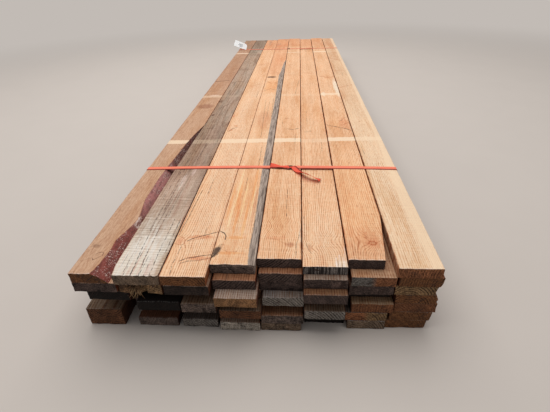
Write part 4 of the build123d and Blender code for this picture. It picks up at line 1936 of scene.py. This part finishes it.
class FIR_OT_tag(bpy.types.Operator):
    """Makes the card tag at the left end of the rear strap"""

    bl_idname = "fir.tag"
    bl_label = "Tag"

    def execute(self, context):
        low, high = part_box("tag")
        root = Vector((high.x - (CARD_HEIGHT - CARD_CLIP) * sin(CARD_SLOPE), low.y, low.z))
        lengthwise = np.linspace(0, CARD_LENGTH, CARD_STEPS[0])
        upwards = np.linspace(0, CARD_HEIGHT, CARD_STEPS[1])
        points, quads, _ = shell(lengthwise, np.array([0.0, high.y - low.y]), upwards)
        x, y, z = points.T
        along = x / CARD_LENGTH
        up = z / CARD_HEIGHT
        z = up * (CARD_HEIGHT - np.clip(CARD_CLIP - x, 0, None))
        curl = np.sin(pi * along * 0.9) * 0.6 + along**2 * 0.5 + 0.3 * up**2 * along
        y = y - context.scene.fir_sizes.card_curl * curl
        rise = z * cos(CARD_LEAN) - y * sin(CARD_LEAN)
        back = y * cos(CARD_LEAN) + z * sin(CARD_LEAN)
        card = np.stack([
            root.x - x * cos(CARD_SLOPE) + rise * sin(CARD_SLOPE),
            root.y + back,
            root.z + x * sin(CARD_SLOPE) + rise * cos(CARD_SLOPE),
        ], axis=1)
        pile = Pile()
        lay = np.stack([along, up, np.zeros(len(points))], axis=1)
        pile.add(card, quads[:, ::-1], np.zeros(len(quads), int), lay=lay)
        piece = pile.object("card_tag", [card_material()])
        stand_for(piece, "tag")
        return {"FINISHED"}


# Stage

# How dark the floor's darkest grit is, the sky's tint, the lamp's sides and its place in metres, and the
# camera's sensor in millimetres
FLOOR_SHADE = 0.96
SKY_TINT = (0.97, 0.98, 1.0, 1.0)
LAMP_SIZE = (7.0, 9.0)
LAMP_PLACE = (-0.6, 0.6, 5.5)
SENSOR_WIDTH = 36.0


class FIR_OT_stage(bpy.types.Operator):
    """Makes the floor, the soft light and the camera"""

    bl_idname = "fir.stage"
    bl_label = "Stage"

    def execute(self, context):
        stage = context.scene.fir_stage
        half = stage.floor_size / 2
        mesh = bpy.data.meshes.new("floor")
        corners = [(-half, -half, 0.0), (half, -half, 0.0), (half, half, 0.0), (-half, half, 0.0)]
        mesh.from_pydata(corners, [], [(0, 1, 2, 3)])
        mesh.materials.append(self.floor_material(stage))
        floor = bpy.data.objects.new("floor", mesh)
        context.scene.collection.objects.link(floor)
        self.add_light(context, stage)
        self.add_camera(context, stage)
        context.scene.view_settings.view_transform = "Standard"
        return {"FINISHED"}

    def floor_material(self, stage):
        """A plain floor that, to the camera alone, fades into the backdrop far away."""
        material, sheet, shader = new_material("floor")
        tone = linear(stage.floor)
        darker = (*(channel * FLOOR_SHADE for channel in tone[:3]), 1.0)
        grit = sheet.noise(sheet.place(), 3.0, 4.0)
        sheet.feed(shader.inputs["Base Color"], sheet.mix(grit, tone, darker))
        shader.inputs["Roughness"].default_value = 0.95
        shader.inputs["Specular IOR Level"].default_value = 0.1
        far = sheet.ramp(sheet.length(sheet.place()), stage.fade_start, stage.fade_end)
        share = far * sheet.node("ShaderNodeLightPath").outputs["Is Camera Ray"]
        plain = sheet.node("ShaderNodeEmission")
        plain.inputs["Color"].default_value = linear(stage.backdrop)
        blend = sheet.node("ShaderNodeMixShader", (share, shader.outputs["BSDF"], plain.outputs["Emission"]))
        output = next(node for node in sheet.tree.nodes if node.type == "OUTPUT_MATERIAL")
        sheet.feed(output.inputs["Surface"], blend.outputs[0])
        return material

    def add_light(self, context, stage):
        """An even sky and one wide lamp overhead."""
        world = bpy.data.worlds.new("studio")
        world.use_nodes = True
        sheet = Sheet(world.node_tree)
        even = sheet.node("ShaderNodeBackground", (SKY_TINT, stage.sky))
        behind = sheet.node("ShaderNodeBackground", (linear(stage.backdrop),))
        path = sheet.node("ShaderNodeLightPath").outputs
        seen = sheet.math("MAXIMUM", path["Is Camera Ray"], path["Is Glossy Ray"])
        seen = sheet.math("MAXIMUM", seen, path["Is Transmission Ray"])
        choice = sheet.node("ShaderNodeMixShader", (seen, even.outputs[0], behind.outputs[0]))
        output = sheet.node("ShaderNodeOutputWorld")
        sheet.feed(output.inputs["Surface"], choice.outputs[0])
        context.scene.world = world
        lamp = bpy.data.lights.new("overhead", "AREA")
        lamp.shape = "RECTANGLE"
        lamp.size, lamp.size_y = LAMP_SIZE
        lamp.energy = stage.lamp
        holder = bpy.data.objects.new("overhead", lamp)
        holder.location = LAMP_PLACE
        context.scene.collection.objects.link(holder)

    def add_camera(self, context, stage):
        """A camera where the photograph was taken from."""
        pitch = stage.camera_pitch
        yaw = stage.camera_yaw
        roll = stage.camera_roll
        forward = Vector((sin(yaw) * cos(pitch), cos(yaw) * cos(pitch), -sin(pitch)))
        level_right = Vector((cos(yaw), -sin(yaw), 0.0))
        level_down = forward.cross(level_right)
        right = level_right * cos(roll) + level_down * sin(roll)
        down = level_down * cos(roll) - level_right * sin(roll)
        data = bpy.data.cameras.new("camera")
        data.sensor_fit = "HORIZONTAL"
        data.sensor_width = SENSOR_WIDTH
        data.lens = stage.camera_lens
        camera = bpy.data.objects.new("camera", data)
        axes = Matrix((right, -down, -forward)).transposed().to_4x4()
        camera.matrix_world = Matrix.Translation(Vector(stage.camera_place)) @ axes
        context.scene.collection.objects.link(camera)
        context.scene.camera = camera


class FIR_PT_stack(bpy.types.Panel):
    """The steps that dress the stack"""

    bl_idname = "FIR_PT_stack"
    bl_label = "Fir Board Stack"
    bl_space_type = "VIEW_3D"
    bl_region_type = "UI"
    bl_category = "Fir Stack"

    def draw(self, context):
        column = self.layout.column(align=True)
        for operator in OPERATORS:
            column.operator(operator.bl_idname)
        for name in SETTINGS:
            settings = getattr(context.scene, name)
            box = self.layout.box()
            for key in settings.bl_rna.properties.keys():
                if key not in ("rna_type", "name"):
                    box.prop(settings, key)


OPERATORS = [
    FIR_OT_top_boards,
    FIR_OT_lower_boards,
    FIR_OT_straps,
    FIR_OT_buckles,
    FIR_OT_tag,
    FIR_OT_stage,
]
SETTINGS = {
    "fir_colours": FirColours,
    "strap_colours": StrapColours,
    "fir_sizes": StackSizes,
    "fir_stage": StageSettings,
}


def register():
    """Adds the settings, the operators and the panel."""
    for name, settings in SETTINGS.items():
        bpy.utils.register_class(settings)
        setattr(bpy.types.Scene, name, PointerProperty(type=settings))
    for operator in OPERATORS:
        bpy.utils.register_class(operator)
    bpy.utils.register_class(FIR_PT_stack)


def unregister():
    """Takes them away again."""
    bpy.utils.unregister_class(FIR_PT_stack)
    for operator in reversed(OPERATORS):
        bpy.utils.unregister_class(operator)
    for name, settings in SETTINGS.items():
        delattr(bpy.types.Scene, name)
        bpy.utils.unregister_class(settings)


def main():
    """Dresses the stack."""
    register()
    for add_effect in EFFECTS:
        add_effect()
    bpy.ops.fir.top_boards()
    bpy.ops.fir.lower_boards()
    bpy.ops.fir.straps()
    bpy.ops.fir.buckles()
    bpy.ops.fir.tag()
    bpy.ops.fir.stage()


if __name__ == "__main__":
    main()
